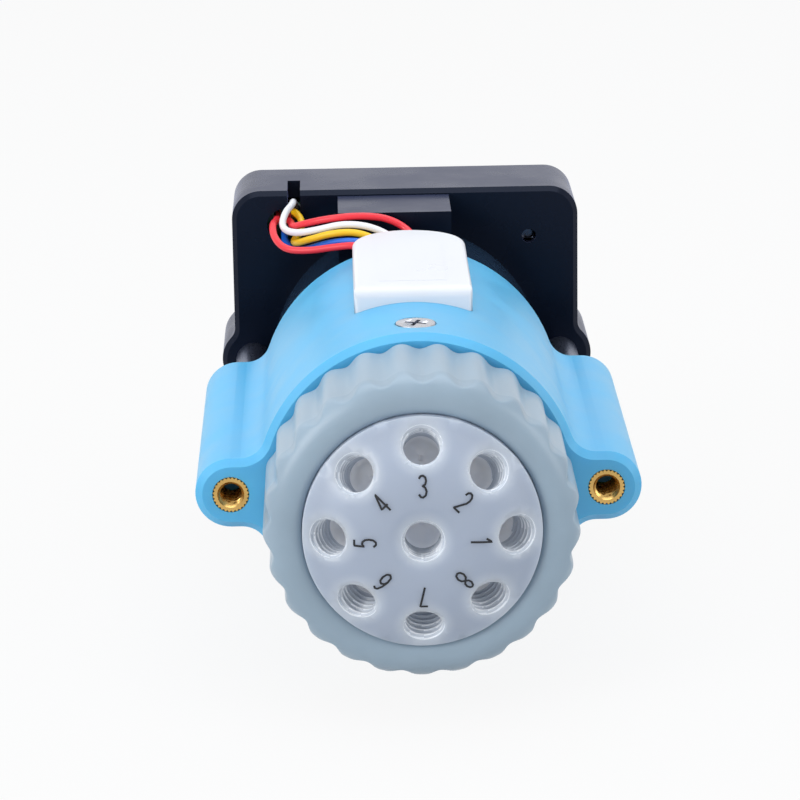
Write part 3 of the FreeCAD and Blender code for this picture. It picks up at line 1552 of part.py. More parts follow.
def check_and_export():
    failed = [item.Label for item in doc.Objects if {"Invalid", "Error"} & set(item.State)]
    if failed:
        raise RuntimeError("failed objects: " + ", ".join(failed))
    os.makedirs("parts", exist_ok=True)
    for part in PARTS:
        shape = part.Shape
        if shape.isNull() or not shape.isValid() or shape.Volume <= 0:
            raise RuntimeError(f"{part.Label} has no valid solid")
    for part in PARTS:
        part.Shape.exportStep(f"parts/{part.Label}.step")
    print(len(PARTS), "sub-parts written")


build()
check_and_export()
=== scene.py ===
"""Looks of the microfluidic selector valve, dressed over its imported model."""

import json
import math

import bmesh
import bpy
from mathutils import Matrix, Vector


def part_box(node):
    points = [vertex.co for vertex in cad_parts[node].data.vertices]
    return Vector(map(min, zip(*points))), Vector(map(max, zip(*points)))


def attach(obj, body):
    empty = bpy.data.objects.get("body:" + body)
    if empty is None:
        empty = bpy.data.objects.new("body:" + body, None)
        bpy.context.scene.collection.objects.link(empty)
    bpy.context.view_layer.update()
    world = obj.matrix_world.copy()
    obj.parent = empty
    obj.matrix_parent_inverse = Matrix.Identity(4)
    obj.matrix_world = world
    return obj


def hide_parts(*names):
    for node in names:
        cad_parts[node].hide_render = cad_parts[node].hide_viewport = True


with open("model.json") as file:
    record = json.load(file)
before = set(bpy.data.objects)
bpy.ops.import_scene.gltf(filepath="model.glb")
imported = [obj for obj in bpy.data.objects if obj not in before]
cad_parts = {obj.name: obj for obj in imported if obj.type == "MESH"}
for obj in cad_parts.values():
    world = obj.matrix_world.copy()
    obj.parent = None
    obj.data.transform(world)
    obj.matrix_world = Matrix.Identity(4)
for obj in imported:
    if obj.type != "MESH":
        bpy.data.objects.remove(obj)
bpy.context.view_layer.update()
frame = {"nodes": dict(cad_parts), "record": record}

MM = 0.001
SOLID_ROOT = "frame"

# Sizes that the solids also have, in millimetres and degrees
HEAD_FACE = 24.73
HEAD_RADIUS = 17.6
HEAD_FLAT_RADIUS = 5.485
DOME_BLEND = 17.0
PORT_COUNT = 8
PORT_CIRCLE = 14.02
PORT_STATION = 22.43
PORT_TILT = 30.0
PORT_BORE = 2.75
PORT_MOUTH = 3.3
PORT_LEAD = 0.55
PORT_DEPTH = 8.0
NUT_RADIUS = 23.9
NUT_BORE = 21.05
NUT_BACK = -1.0
NUT_FRONT = -19.8
LIP_BORE = 17.95
LIP_ROUND = 3.8
SCALLOP_COUNT = 25
SCALLOP_DEPTH = 0.9
SCALLOP_PHASE = 9.9
COVER_RELIEF = 0.15
PANEL_HALF = 29.0
INSERT_RADIUS = 2.85
INSERT_BORE = 1.65
INSERT_LENGTH = 8.0
SCREW_STATION = 7.0
LOBE_OFFSET = 26.8
PLATE_SCREW_X = 23.5
PLATE_SCREW_Z = 13.5
FRONT_SCREW_X = 21.5
FRONT_SCREW_Z = 21.3
BOX_BACK = 96.6
FLOOR = -30.0
LEAD_DIAMETER = 1.2

# Ports of the head, as they look, in millimetres
HEAD_RADIUS_SEEN = 17.92
HEAD_RIM_BACK = -14.0
HEAD_RIM_BAND = 0.05
THREAD_PITCH = 25.4 / 28
THREAD_ROOT = 3.17
THREAD_CREST = 2.62
THREAD_START = -1.0
THREAD_END = 5.6
THREAD_SEGMENTS = 60
THREAD_ROWS_PER_TURN = 8
THREAD_FLAT = 0.86
THREAD_FADE = 1.2
FLARE_RISE = 0.06
FLARE_SLOPE = 0.6
FLARE_END = 0.3
DRILL_POINT = 1.5
FLOW_WALL = 0.6
FLOW_END = 20.0
LIT_REACH = 3.1
CREST_BAND = 0.05
WALL_FACING = -0.3
COLLAR_SEGMENTS = 72
COLLAR_CLEARANCE = 0.01
COLLAR_WIDTH = 0.3
COLLAR_BASE = 0.07
COLLAR_SUNK = 0.015
HALO_REACH = 5.0
SOLVE_STEPS = 4

# Rounding of the nut and the cover, as they look, in millimetres and degrees
SCALLOP_COLUMNS = 16
SCALLOP_SHAPE = 1.15
SCALLOP_RUN_OUT = 9.0
LIP_INNER_WIDTH = 2.1
LIP_INNER_DROP = 1.0
NUT_STRAIGHT_ROWS = 5
NUT_ROUND_ROWS = 30
NUT_LIP_ROWS = 16
COVER_RELIEF_SEEN = 0.06
COVER_PANEL_EDGE = 0.1
COVER_FRONT_ROUND = 1.9
COVER_ROUND_STEPS = 12
CUT_ROOM = 1


# Camera: the photograph's view, fitted to it, in millimetres and degrees

CAMERA_PLACE = (-11.8, -526.7, 165.7)
CAMERA_YAW = 0.99
CAMERA_PITCH = 16.0
CAMERA_ROLL = -0.88
FOCAL_LENGTH = 161.1
SENSOR_WIDTH = 36


def add_camera():
    yaw, pitch, roll = (math.radians(angle) for angle in (CAMERA_YAW, CAMERA_PITCH, CAMERA_ROLL))
    forward = Vector((math.sin(yaw) * math.cos(pitch), math.cos(yaw) * math.cos(pitch), -math.sin(pitch)))
    level_right = Vector((math.cos(yaw), -math.sin(yaw), 0))
    level_up = level_right.cross(forward)
    right = level_right * math.cos(roll) + level_up * math.sin(roll)
    up = level_up * math.cos(roll) - level_right * math.sin(roll)
    data = bpy.data.cameras.new("camera")
    data.lens = FOCAL_LENGTH
    data.sensor_width = SENSOR_WIDTH
    data.clip_start = 0.02
    data.clip_end = 50
    camera = bpy.data.objects.new("camera", data)
    bpy.context.collection.objects.link(camera)
    basis = Matrix((right, up, -forward)).transposed().to_4x4()
    camera.matrix_world = Matrix.Translation(Vector(CAMERA_PLACE) * MM) @ basis
    bpy.context.scene.camera = camera


add_camera()


# Materials

NOISE_LOW = 0.3
NOISE_HIGH = 0.7
MOTTLE_SCALE = 90.0
GRAIN_SCALE = 2600.0
GRAIN_DEPTH = 0.00001
GLOSS_SWING = 0.05
TARNISH_SCALE = 260.0
TARNISH_SHADE = 0.86
TOOL_MARK_SCALE = 3000.0
TOOL_MARK_DEPTH = 0.000004
TOOL_MARK_SWING = 0.07


def srgb(red, green, blue):
    """A colour as seen on screen, from 0 to 255, as the shader takes it."""
    def linear(value):
        value /= 255
        return value / 12.92 if value <= 0.04045 else ((value + 0.055) / 1.055) ** 2.4
    return (linear(red), linear(green), linear(blue), 1.0)


def scaled(color, factor):
    return tuple(min(1.0, c * factor) for c in color[:3]) + (1.0,)


class Shader:
    """A small helper to wire a Principled material from object-space noise."""

    def __init__(self, name, **constants):
        self.material = bpy.data.materials.new(name)
        self.material.use_nodes = True
        self.tree = self.material.node_tree
        self.nodes = self.tree.nodes
        self.principled = self.nodes["Principled BSDF"]
        for socket, value in constants.items():
            self.principled.inputs[socket.replace("_", " ")].default_value = value
        self.place = self.nodes.new("ShaderNodeTexCoord").outputs["Object"]

    def link(self, source, target):
        self.tree.links.new(source, target)

    def stretched(self, scale):
        node = self.nodes.new("ShaderNodeMapping")
        node.inputs["Scale"].default_value = scale
        self.link(self.place, node.inputs["Vector"])
        return node.outputs["Vector"]

    def noise(self, scale, detail, vector=None):
        node = self.nodes.new("ShaderNodeTexNoise")
        node.inputs["Scale"].default_value = scale
        node.inputs["Detail"].default_value = detail
        self.link(vector or self.place, node.inputs["Vector"])
        return node.outputs["Fac"]

    def ramp(self, source, ends, low, high):
        """The source's value, eased from low to high between the two ends."""
        node = self.nodes.new("ShaderNodeMapRange")
        node.interpolation_type = "SMOOTHSTEP"
        node.inputs["From Min"].default_value = ends[0]
        node.inputs["From Max"].default_value = ends[1]
        node.inputs["To Min"].default_value = low
        node.inputs["To Max"].default_value = high
        self.link(source, node.inputs["Value"])
        return node.outputs["Result"]

    def spread(self, noise, low, high):
        """A noise, which stays near its middle, spread out from low to high."""
        return self.ramp(noise, (NOISE_LOW, NOISE_HIGH), low, high)

    def colour(self, source, low, high):
        node = self.nodes.new("ShaderNodeMix")
        node.data_type = "RGBA"
        node.inputs["A"].default_value = low
        node.inputs["B"].default_value = high
        self.link(source, node.inputs["Factor"])
        self.link(node.outputs["Result"], self.principled.inputs["Base Color"])

    def roughness(self, source, middle, swing):
        self.link(self.spread(source, middle - swing, middle + swing), self.principled.inputs["Roughness"])

    def bump(self, source, depth):
        node = self.nodes.new("ShaderNodeBump")
        node.inputs["Distance"].default_value = depth
        self.link(source, node.inputs["Height"])
        self.link(node.outputs["Normal"], self.principled.inputs["Normal"])


def moulded(name, color, rough, grain=GRAIN_SCALE, depth=GRAIN_DEPTH, vary=0.04, **constants):
    """Moulded or machined plastic: faint mottle, uneven sheen and a fine grain."""
    shader = Shader(name, **constants)
    mottle = shader.noise(MOTTLE_SCALE, detail=4.0)
    shader.colour(shader.spread(mottle, 0.0, 1.0), scaled(color, 1 - vary), scaled(color, 1 + vary))
    shader.roughness(mottle, rough, GLOSS_SWING)
    shader.bump(shader.noise(grain, detail=2.0), depth)
    return shader.material


def metal(name, color, rough, stretch=(1.0, 1.0, 1.0)):
    """Metal with tool marks along one direction and a little tarnish."""
    shader = Shader(name, Metallic=1.0)
    marks = shader.noise(TOOL_MARK_SCALE, detail=3.0, vector=shader.stretched(stretch))
    tarnish = shader.noise(TARNISH_SCALE, detail=4.0)
    shader.colour(shader.spread(tarnish, 0.0, 1.0), scaled(color, TARNISH_SHADE), color)
    shader.roughness(marks, rough, TOOL_MARK_SWING)
    shader.bump(marks, TOOL_MARK_DEPTH)
    return shader.material


def halo(shader):
    """1 at the mouth of a port and 0 away from it, for the ports in the ring and the one in the middle."""
    def result_of(operation, one, two=None):
        node = shader.nodes.new("ShaderNodeMath")
        node.operation = operation
        for socket, value in zip(node.inputs, (one, two)):
            if isinstance(value, (int, float)):
                socket.default_value = value
            elif value is not None:
                shader.link(value, socket)
        return node.outputs["Value"]

    def length_of(one, two):
        squares = [result_of("MULTIPLY", side, side) for side in (one, two)]
        return result_of("SQRT", result_of("ADD", *squares))

    parts = shader.nodes.new("ShaderNodeSeparateXYZ")
    shader.link(shader.place, parts.inputs["Vector"])
    across, up = parts.outputs["X"], parts.outputs["Z"]
    radius = length_of(across, up)
    turn = result_of("PINGPONG", result_of("ARCTAN2", up, across), math.pi / PORT_COUNT)
    outward = result_of("MULTIPLY", radius, result_of("COSINE", turn))
    aside = result_of("MULTIPLY", radius, result_of("SINE", turn))
    from_port = length_of(result_of("SUBTRACT", outward, PORT_CIRCLE * MM), aside)
    nearest = result_of("MINIMUM", from_port, radius)
    return shader.ramp(nearest, (PORT_MOUTH * MM, HALO_REACH * MM), 1.0, 0.0)


def frosted_face(name, color, lit_color, rough):
    """Frosted plastic, lighter where light comes through the thin wall round each port."""
    shader = Shader(name, **FROSTED)
    shader.colour(halo(shader), color, lit_color)
    shader.roughness(shader.noise(MOTTLE_SCALE, detail=4.0), rough, GLOSS_SWING)
    shader.bump(shader.noise(GRAIN_SCALE, detail=2.0), GRAIN_DEPTH)
    return shader.material


FROSTED = {"Subsurface_Weight": 1.0, "Subsurface_Radius": (0.9, 0.95, 1.0), "Subsurface_Scale": 0.004}
TAPPED = dict(FROSTED, Subsurface_Weight=0.7, Subsurface_Scale=0.0009)
# The lit mouth and the drilled floor glow a little: painted light, standing in for light that comes through
# the frosted plastic into the ports
LIT = dict(TAPPED, Emission_Color=(0.9, 0.94, 1.0, 1.0), Emission_Strength=0.07)
DEEP_GLOW = dict(FROSTED, Subsurface_Scale=0.012, Emission_Color=(0.88, 0.91, 1.0, 1.0), Emission_Strength=0.065)
MATERIALS = {
    "blue_plastic": moulded("blue_plastic", srgb(86, 178, 223), 0.38, vary=0.03, Subsurface_Weight=0.3,
                            Subsurface_Radius=(0.4, 0.8, 1.0), Subsurface_Scale=0.002),
    "grey_plastic": moulded("grey_plastic", srgb(147, 166, 181), 0.33, vary=0.05, Subsurface_Weight=0.25,
                            Subsurface_Radius=(0.7, 0.9, 1.0), Subsurface_Scale=0.003),
    "clear_plastic": frosted_face("clear_plastic", srgb(172, 182, 198), srgb(185, 193, 205), 0.36),
    "black_plastic": moulded("black_plastic", srgb(10, 17, 30), 0.27, grain=2200.0, depth=0.0000008,
                             vary=0.05, Specular_IOR_Level=0.15, Specular_Tint=(0.68, 0.74, 1.0, 1.0),
                             Sheen_Weight=0.24, Sheen_Roughness=0.34, Sheen_Tint=(0.42, 0.5, 1.0, 1.0)),
    "white_plastic": moulded("white_plastic", srgb(225, 226, 231), 0.32, vary=0.012, Subsurface_Weight=0.1,
                             Subsurface_Radius=(1.0, 1.0, 1.0), Subsurface_Scale=0.001),
    "black_polymer": moulded("black_polymer", srgb(26, 27, 30), 0.5, vary=0.1),
    "white_polymer": moulded("white_polymer", srgb(226, 226, 220), 0.45, vary=0.02),
    "brass": metal("brass", srgb(208, 170, 102), 0.24),
    "bright_steel": metal("bright_steel", srgb(196, 198, 204), 0.25, stretch=(0.2, 1.0, 0.2)),
    "screw_steel": metal("screw_steel", srgb(200, 200, 206), 0.3),
    "dark_steel": metal("dark_steel", srgb(62, 66, 78), 0.24, stretch=(1.0, 0.05, 1.0)),
    "core_steel": metal("core_steel", srgb(110, 112, 118), 0.45),
    "bare_aluminium": metal("bare_aluminium", srgb(206, 208, 212), 0.32, stretch=(0.1, 1.0, 0.1)),
    "dark_anodised": metal("dark_anodised", srgb(122, 130, 152), 0.33),
    "copper_wire": metal("copper_wire", srgb(190, 112, 66), 0.34, stretch=(1.0, 8.0, 1.0)),
    "motor_black": moulded("motor_black", srgb(24, 42, 62), 0.24, grain=2400.0, depth=0.000001, vary=0.06,
                           Specular_IOR_Level=0.5),
    "board_green": moulded("board_green", srgb(28, 92, 58), 0.35, grain=1800.0, vary=0.12),
    "lead_red": moulded("lead_red", srgb(238, 46, 60), 0.38, grain=4200.0, vary=0.04),
    "lead_white": moulded("lead_white", srgb(232, 233, 238), 0.38, grain=4200.0, vary=0.02),
    "lead_yellow": moulded("lead_yellow", srgb(236, 190, 10), 0.38, grain=4200.0, vary=0.05),
    "lead_blue": moulded("lead_blue", srgb(16, 98, 206), 0.38, grain=4200.0, vary=0.06),
    "tapped_wall": moulded("tapped_wall", srgb(198, 205, 215), 0.3, vary=0.02, **TAPPED),
    "lit_thread": moulded("lit_thread", srgb(226, 231, 238), 0.3, vary=0.02, **LIT),
    "drilled_floor": moulded("drilled_floor", srgb(238, 241, 248), 0.4, vary=0.03, **DEEP_GLOW),
    "black_ink": moulded("black_ink", srgb(20, 22, 28), 0.55, grain=6000.0, vary=0.2),
}

# The record's slot of each node, and the finish that it shows: the posts look anodised in the photo
SLOT_OF = {part["node"]: part["material_slot"] for part in frame["record"]["subparts"]}
FINISH_OF = dict(SLOT_OF, spacer_posts="dark_anodised")
for node, solid in frame["nodes"].items():
    for holder in solid.material_slots:
        holder.material = MATERIALS[FINISH_OF[node]]


# Leads: slot, length and the same route as the solid's, in millimetres

LEADS = {
    "lead_red_upper": ("lead_red", 58.5, [
        (1.5, 44.0, 25.0), (1.5, 51.0, 25.0), (1.4, 57.9, 25.0), (0.7, 62.6, 26.3), (-3.0, 63.8, 28.4),
        (-7.8, 64.0, 28.9), (-12.9, 64.4, 28.4), (-17.1, 66.7, 27.1), (-19.5, 69.9, 25.7),
        (-19.6, 74.6, 25.3), (-20.0, 79.4, 24.6), (-20.4, 83.2, 24.0), (-20.4, 86.6, 24.0),
    ]),
    "lead_white": ("lead_white", 57.2, [
        (-0.2, 44.0, 25.0), (-0.2, 51.0, 25.0), (-0.6, 57.2, 25.1), (-2.7, 61.1, 25.9), (-6.3, 62.0, 27.5),
        (-10.7, 62.8, 27.8), (-15.0, 64.2, 26.5), (-18.9, 66.3, 25.4), (-21.3, 69.9, 25.5),
        (-20.8, 74.0, 27.2), (-19.3, 77.6, 28.1), (-19.4, 81.2, 27.7), (-18.8, 84.0, 26.0),
        (-18.3, 86.6, 25.2),
    ]),
    "lead_yellow": ("lead_yellow", 54.8, [
        (-1.9, 44.0, 25.0), (-1.9, 50.5, 25.0), (-2.3, 56.4, 25.1), (-4.8, 60.2, 25.4), (-8.5, 61.3, 26.7),
        (-12.6, 62.0, 26.4), (-16.3, 63.8, 25.0), (-19.0, 66.7, 23.6), (-19.3, 70.6, 23.2),
        (-18.2, 73.0, 23.8), (-17.7, 75.6, 25.6), (-19.3, 78.8, 26.6), (-19.1, 82.8, 24.9),
        (-18.8, 86.6, 23.4),
    ]),
    "lead_blue": ("lead_blue", 50.2, [
        (-3.6, 44.0, 25.0), (-3.6, 50.0, 25.0), (-4.3, 55.6, 25.1), (-6.9, 59.4, 25.3), (-10.6, 61.0, 25.3),
        (-14.2, 63.2, 24.2), (-17.3, 66.2, 22.5), (-19.7, 70.4, 21.6), (-20.8, 75.2, 21.8),
        (-21.0, 80.6, 22.2), (-21.0, 86.6, 22.2),
    ]),
    "lead_red_lower": ("lead_red", 52.0, [
        (-5.3, 44.0, 25.0), (-5.3, 49.5, 25.0), (-6.1, 54.4, 25.2), (-8.6, 58.2, 25.2), (-12.4, 60.2, 24.4),
        (-16.6, 61.6, 23.5), (-20.6, 63.4, 23.3), (-22.6, 67.0, 24.6), (-22.9, 71.6, 25.9),
        (-22.2, 76.4, 25.4), (-22.2, 81.4, 24.8), (-22.2, 86.6, 24.8),
    ]),
}


def add_lead(node, slot, route):
    curve = bpy.data.curves.new(node + "_sheath", "CURVE")
    curve.dimensions = "3D"
    spline = curve.splines.new("NURBS")
    spline.points.add(len(route) - 1)
    for point, place in zip(spline.points, route):
        point.co = [c * MM for c in place] + [1.0]
    spline.order_u = 3
    spline.use_endpoint_u = True
    curve.resolution_u = 10
    curve.bevel_depth = LEAD_DIAMETER / 2 * MM
    curve.bevel_resolution = 6
    curve.use_fill_caps = True
    curve.materials.append(MATERIALS[slot])
    piece = bpy.data.objects.new(node + "_sheath", curve)
    bpy.context.collection.objects.link(piece)
    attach(piece, SOLID_ROOT)
    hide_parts(node)


for node, (slot, length, route) in LEADS.items():
    add_lead(node, slot, route)


# Mesh helpers

def new_piece(name, mesh, slot, body=SOLID_ROOT, nodes=()):
    """A piece on a body, given the slot's finish when its mesh has none; it hides the given nodes.
    A finish that the record doesn't know is declared as black_polymer.
    """
    piece = bpy.data.objects.new(name, mesh)
    bpy.context.collection.objects.link(piece)
    if not mesh.materials:
        mesh.materials.append(MATERIALS[slot])
    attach(piece, body)
    if nodes:
        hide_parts(*nodes)
    return piece


def set_materials(mesh, names):
    mesh.materials.clear()
    for name in names:
        mesh.materials.append(MATERIALS[name])


def smooth(mesh, angle):
    """Smooth shading, apart from edges sharper than the angle."""
    for face in mesh.polygons:
        face.use_smooth = True
    mesh.set_sharp_from_angle(angle=math.radians(angle))


def keep_flats(piece):
    """Flat faces stay flat beside their rounded edges."""
    modifier = piece.modifiers.new("flats", "WEIGHTED_NORMAL")
    modifier.keep_sharp = True


def grid_mesh(name, rings, closed_rows=False, caps=False):
    """A mesh from rings of points: each ring closes on itself and joins the next."""
    count = len(rings[0])
    points = [point for ring in rings for point in ring]
    faces = []
    rows = len(rings) if closed_rows else len(rings) - 1
    for row in range(rows):
        low, high = row * count, (row + 1) % len(rings) * count
        for column in range(count):
            after = (column + 1) % count
            faces.append((low + column, low + after, high + after, high + column))
    if caps:
        faces.append(tuple(reversed(range(count))))
        faces.append(tuple(range((len(rings) - 1) * count, len(rings) * count)))
    mesh = bpy.data.meshes.new(name)
    mesh.from_pydata(points, [], faces)
    facing_out = bmesh.new()
    facing_out.from_mesh(mesh)
    bmesh.ops.recalc_face_normals(facing_out, faces=facing_out.faces)
    facing_out.to_mesh(mesh)
    facing_out.free()
    return mesh


def joined(name, meshes):
    """One mesh from several."""
    total = bmesh.new()
    for mesh in meshes:
        total.from_mesh(mesh)
    result = bpy.data.meshes.new(name)
    total.to_mesh(result)
    total.free()
    return result


def moved(mesh, matrix):
    copy = mesh.copy()
    copy.transform(matrix)
    return copy


def carved(name, solid, tool, operation="DIFFERENCE"):
    """The mesh of a solid with a tool mesh cut out of it, or joined to it."""
    base = bpy.data.objects.new(name, solid)
    cutter = bpy.data.objects.new(name + "_tool", tool)
    for item in (base, cutter):
        bpy.context.collection.objects.link(item)
    modifier = base.modifiers.new("cut", "BOOLEAN")
    modifier.operation = operation
    modifier.solver = "MANIFOLD"
    modifier.object = cutter
    graph = bpy.context.evaluated_depsgraph_get()
    result = bpy.data.meshes.new_from_object(base.evaluated_get(graph))
    for item in (base, cutter):
        bpy.data.objects.remove(item)
    result.name = name
    return result


def solid_mesh(node):
    """A copy of a CAD node's mesh with its doubled points welded."""
    copy = frame["nodes"][node].data.copy()
    weld = bmesh.new()
    weld.from_mesh(copy)
    bmesh.ops.remove_doubles(weld, verts=weld.verts, dist=1e-7)
    weld.to_mesh(copy)
    weld.free()
    return copy


def facing(origin, outward):
    """A frame at a point whose +Z runs inwards, against the outward direction."""
    inward = -Vector(outward).normalized()
    turn = inward.to_track_quat("Z", "Y").to_matrix().to_4x4()
    return Matrix.Translation(Vector(origin) * MM) @ turn


def thread_radius(crest, root, turns, flat, share):
    """A thread's radius at a place in turns along its helix: a share of the way to its flattened root."""
    swing = max(0.0, 1 - abs(turns % 1.0 - 0.5) * 2.0)
    return crest + (root - crest) * min(flat, swing) / flat * share


# Stator head: tapped ports

def port_tap():
    """A tap along +Z, as a closed solid: its mouth flares a little and its thread fades at its end."""
    rings = []
    rows = int((THREAD_END - THREAD_START) / THREAD_PITCH * THREAD_ROWS_PER_TURN)
    widest = THREAD_ROOT + FLARE_RISE
    for row in range(rows + 1):
        height = THREAD_START + (THREAD_END - THREAD_START) * row / rows
        share = min(1.0, (rows - row) / THREAD_ROWS_PER_TURN * THREAD_FADE)
        ring = []
        for column in range(THREAD_SEGMENTS):
            angle = 2 * math.pi * column / THREAD_SEGMENTS
            turns = height / THREAD_PITCH - column / THREAD_SEGMENTS
            radius = thread_radius(THREAD_CREST, THREAD_ROOT, turns, THREAD_FLAT, share)
            if height < FLARE_END:
                radius = max(radius, min(widest, widest - height * FLARE_SLOPE))
            ring.append((radius * math.cos(angle) * MM, radius * math.sin(angle) * MM, height * MM))
        rings.append(ring)
    return grid_mesh("tap", rings, caps=True)


def dome_station(radius):
    """Y of the head's outer face at a radius, in millimetres: a flat, an arc and a cone."""
    tilt = math.radians(PORT_TILT)
    past = max(0.0, radius - HEAD_FLAT_RADIUS)
    on_arc = min(past, DOME_BLEND * math.sin(tilt))
    arc_station = -HEAD_FACE + DOME_BLEND - math.sqrt(DOME_BLEND ** 2 - on_arc ** 2)
    return arc_station + (past - on_arc) * math.tan(tilt)


def port_frames():
    """A frame at the middle of each mouth, with +Z down the port: the common port first."""
    tilt = math.radians(PORT_TILT)
    places = [facing((0, -HEAD_FACE, 0), (0, -1, 0))]
    for index in range(PORT_COUNT):
        angle = 2 * math.pi * index / PORT_COUNT
        across = Vector((math.cos(angle), 0, math.sin(angle)))
        mouth = across * PORT_CIRCLE + Vector((0, -PORT_STATION, 0))
        places.append(facing(mouth, across * math.sin(tilt) - Vector((0, math.cos(tilt), 0))))
    return places


def face_depth(place, across, along):
    """How deep the head's outer face lies below a port's mouth plane, beside its axis."""
    inward = (place.to_3x3() @ Vector((0, 0, 1))).y
    depth = 0.0
    for _ in range(SOLVE_STEPS):
        spot = place @ (Vector((across, along, depth)) * MM) / MM
        depth += (dome_station(math.hypot(spot.x, spot.z)) - spot.y) * inward
    return depth


def mouth_collar(place):
    """A collar flush with the outer face, which carries the first turns of thread."""
    inner, outer = PORT_BORE + COLLAR_CLEARANCE, PORT_MOUTH + COLLAR_WIDTH
    rings = []
    for radius, at_base in ((inner, True), (outer, True), (outer, False), (inner, False)):
        ring = []
        for column in range(COLLAR_SEGMENTS):
            angle = 2 * math.pi * column / COLLAR_SEGMENTS
            across, along = radius * math.cos(angle), radius * math.sin(angle)
            depth = PORT_LEAD + COLLAR_BASE if at_base else face_depth(place, across, along) + COLLAR_SUNK
            ring.append(place @ (Vector((across, along, depth)) * MM))
        rings.append(ring)
    return grid_mesh("collar", rings, closed_rows=True)


def head_finish(face, ports):
    """The finish of a face of the head: outside, tapped wall, drilled floor, or lit mouth and crest; the
    floor and the lit mouth and crest glow with painted light.
    """
    for into_port in ports:
        local = into_port @ face.center / MM
        spread = math.hypot(local.x, local.y)
        if spread < FLOW_WALL and PORT_DEPTH < local.z < FLOW_END:
            return "drilled_floor"
        if spread > PORT_MOUTH or not 0 < local.z < PORT_DEPTH + DRILL_POINT:
            continue
        if local.z > THREAD_END:
            return "drilled_floor"
        normal = into_port.to_3x3() @ face.normal
        if local.x * normal.x + local.y * normal.y < WALL_FACING * spread:
            at_mouth = local.z < PORT_LEAD and spread > THREAD_ROOT - FLARE_RISE
            on_crest = local.z < LIT_REACH and spread < PORT_BORE + CREST_BAND
            return "lit_thread" if at_mouth or on_crest else "tapped_wall"
    return "clear_plastic"


def add_head():
    frames = port_frames()
    collars = joined("collars", [mouth_collar(place) for place in frames])
    mesh = carved("collared_head", solid_mesh("stator_head"), collars, "UNION")
    tap = port_tap()
    taps = joined("taps", [moved(tap, place) for place in frames])
    mesh = carved("ported_head", mesh, taps)
    for vertex in mesh.vertices:
        reach = math.hypot(vertex.co.x, vertex.co.z) / MM
        if reach > HEAD_RADIUS - HEAD_RIM_BAND and vertex.co.y < HEAD_RIM_BACK * MM:
            vertex.co.x *= HEAD_RADIUS_SEEN / reach
            vertex.co.z *= HEAD_RADIUS_SEEN / reach
    smooth(mesh, 28.0)
    finishes = ["clear_plastic", "tapped_wall", "drilled_floor", "lit_thread"]
    set_materials(mesh, finishes)
    ports = [place.inverted() for place in frames]
    for face in mesh.polygons:
        face.material_index = finishes.index(head_finish(face, ports))
    new_piece("ported_head", mesh, "clear_plastic", nodes=["stator_head"])


add_head()


# Ring nut: scallops that run on round the front edge

def nut_ring(radius, station, slant=0.0, cut=None):
    """Points round the nut at one station, sunk by the scallops along the profile's normal, less a cut."""
    points = []
    columns = SCALLOP_COUNT * SCALLOP_COLUMNS
    for column in range(columns):
        angle = 2 * math.pi * column / columns
        swing = 0.5 - 0.5 * math.cos(SCALLOP_COUNT * (angle - math.radians(SCALLOP_PHASE)))
        sink = 0.0 if cut is None else max(0.0, SCALLOP_DEPTH * swing ** SCALLOP_SHAPE - cut)
        reach = (radius - sink * math.cos(slant)) * MM
        height = (station + sink * math.sin(slant)) * MM
        points.append((reach * math.cos(angle), height, reach * math.sin(angle)))
    return points


def add_nut():
    lip_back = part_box("slip_ring")[0].y / MM
    round_start = NUT_FRONT + LIP_ROUND
    rings = [nut_ring(NUT_BORE, NUT_BACK)]
    for row in range(NUT_STRAIGHT_ROWS):
        station = NUT_BACK + (round_start - NUT_BACK) * row / NUT_STRAIGHT_ROWS
        rings.append(nut_ring(NUT_RADIUS, station, cut=0.0))
    for row in range(NUT_ROUND_ROWS + 1):
        slant = math.pi / 2 * row / NUT_ROUND_ROWS
        past = max(0.0, slant - math.radians(SCALLOP_RUN_OUT))
        radius = NUT_RADIUS - LIP_ROUND + LIP_ROUND * math.cos(slant)
        station = round_start - LIP_ROUND * math.sin(slant)
        rings.append(nut_ring(radius, station, slant, LIP_ROUND * (1 - math.cos(past))))
    for row in range(1, NUT_LIP_ROWS + 1):
        slant = math.pi / 2 * row / NUT_LIP_ROWS
        radius = LIP_BORE + LIP_INNER_WIDTH * (1 - math.sin(slant))
        rings.append(nut_ring(radius, NUT_FRONT + LIP_INNER_DROP * (1 - math.cos(slant))))
    rings.append(nut_ring(LIP_BORE, lip_back))
    rings.append(nut_ring(NUT_BORE, lip_back))
    mesh = grid_mesh("scalloped_nut", rings, closed_rows=True)
    smooth(mesh, 40.0)
    new_piece("scalloped_nut", mesh, "grey_plastic", "nut", ["ring_nut"])


add_nut()


# Port numbers, drawn as single strokes on the dome

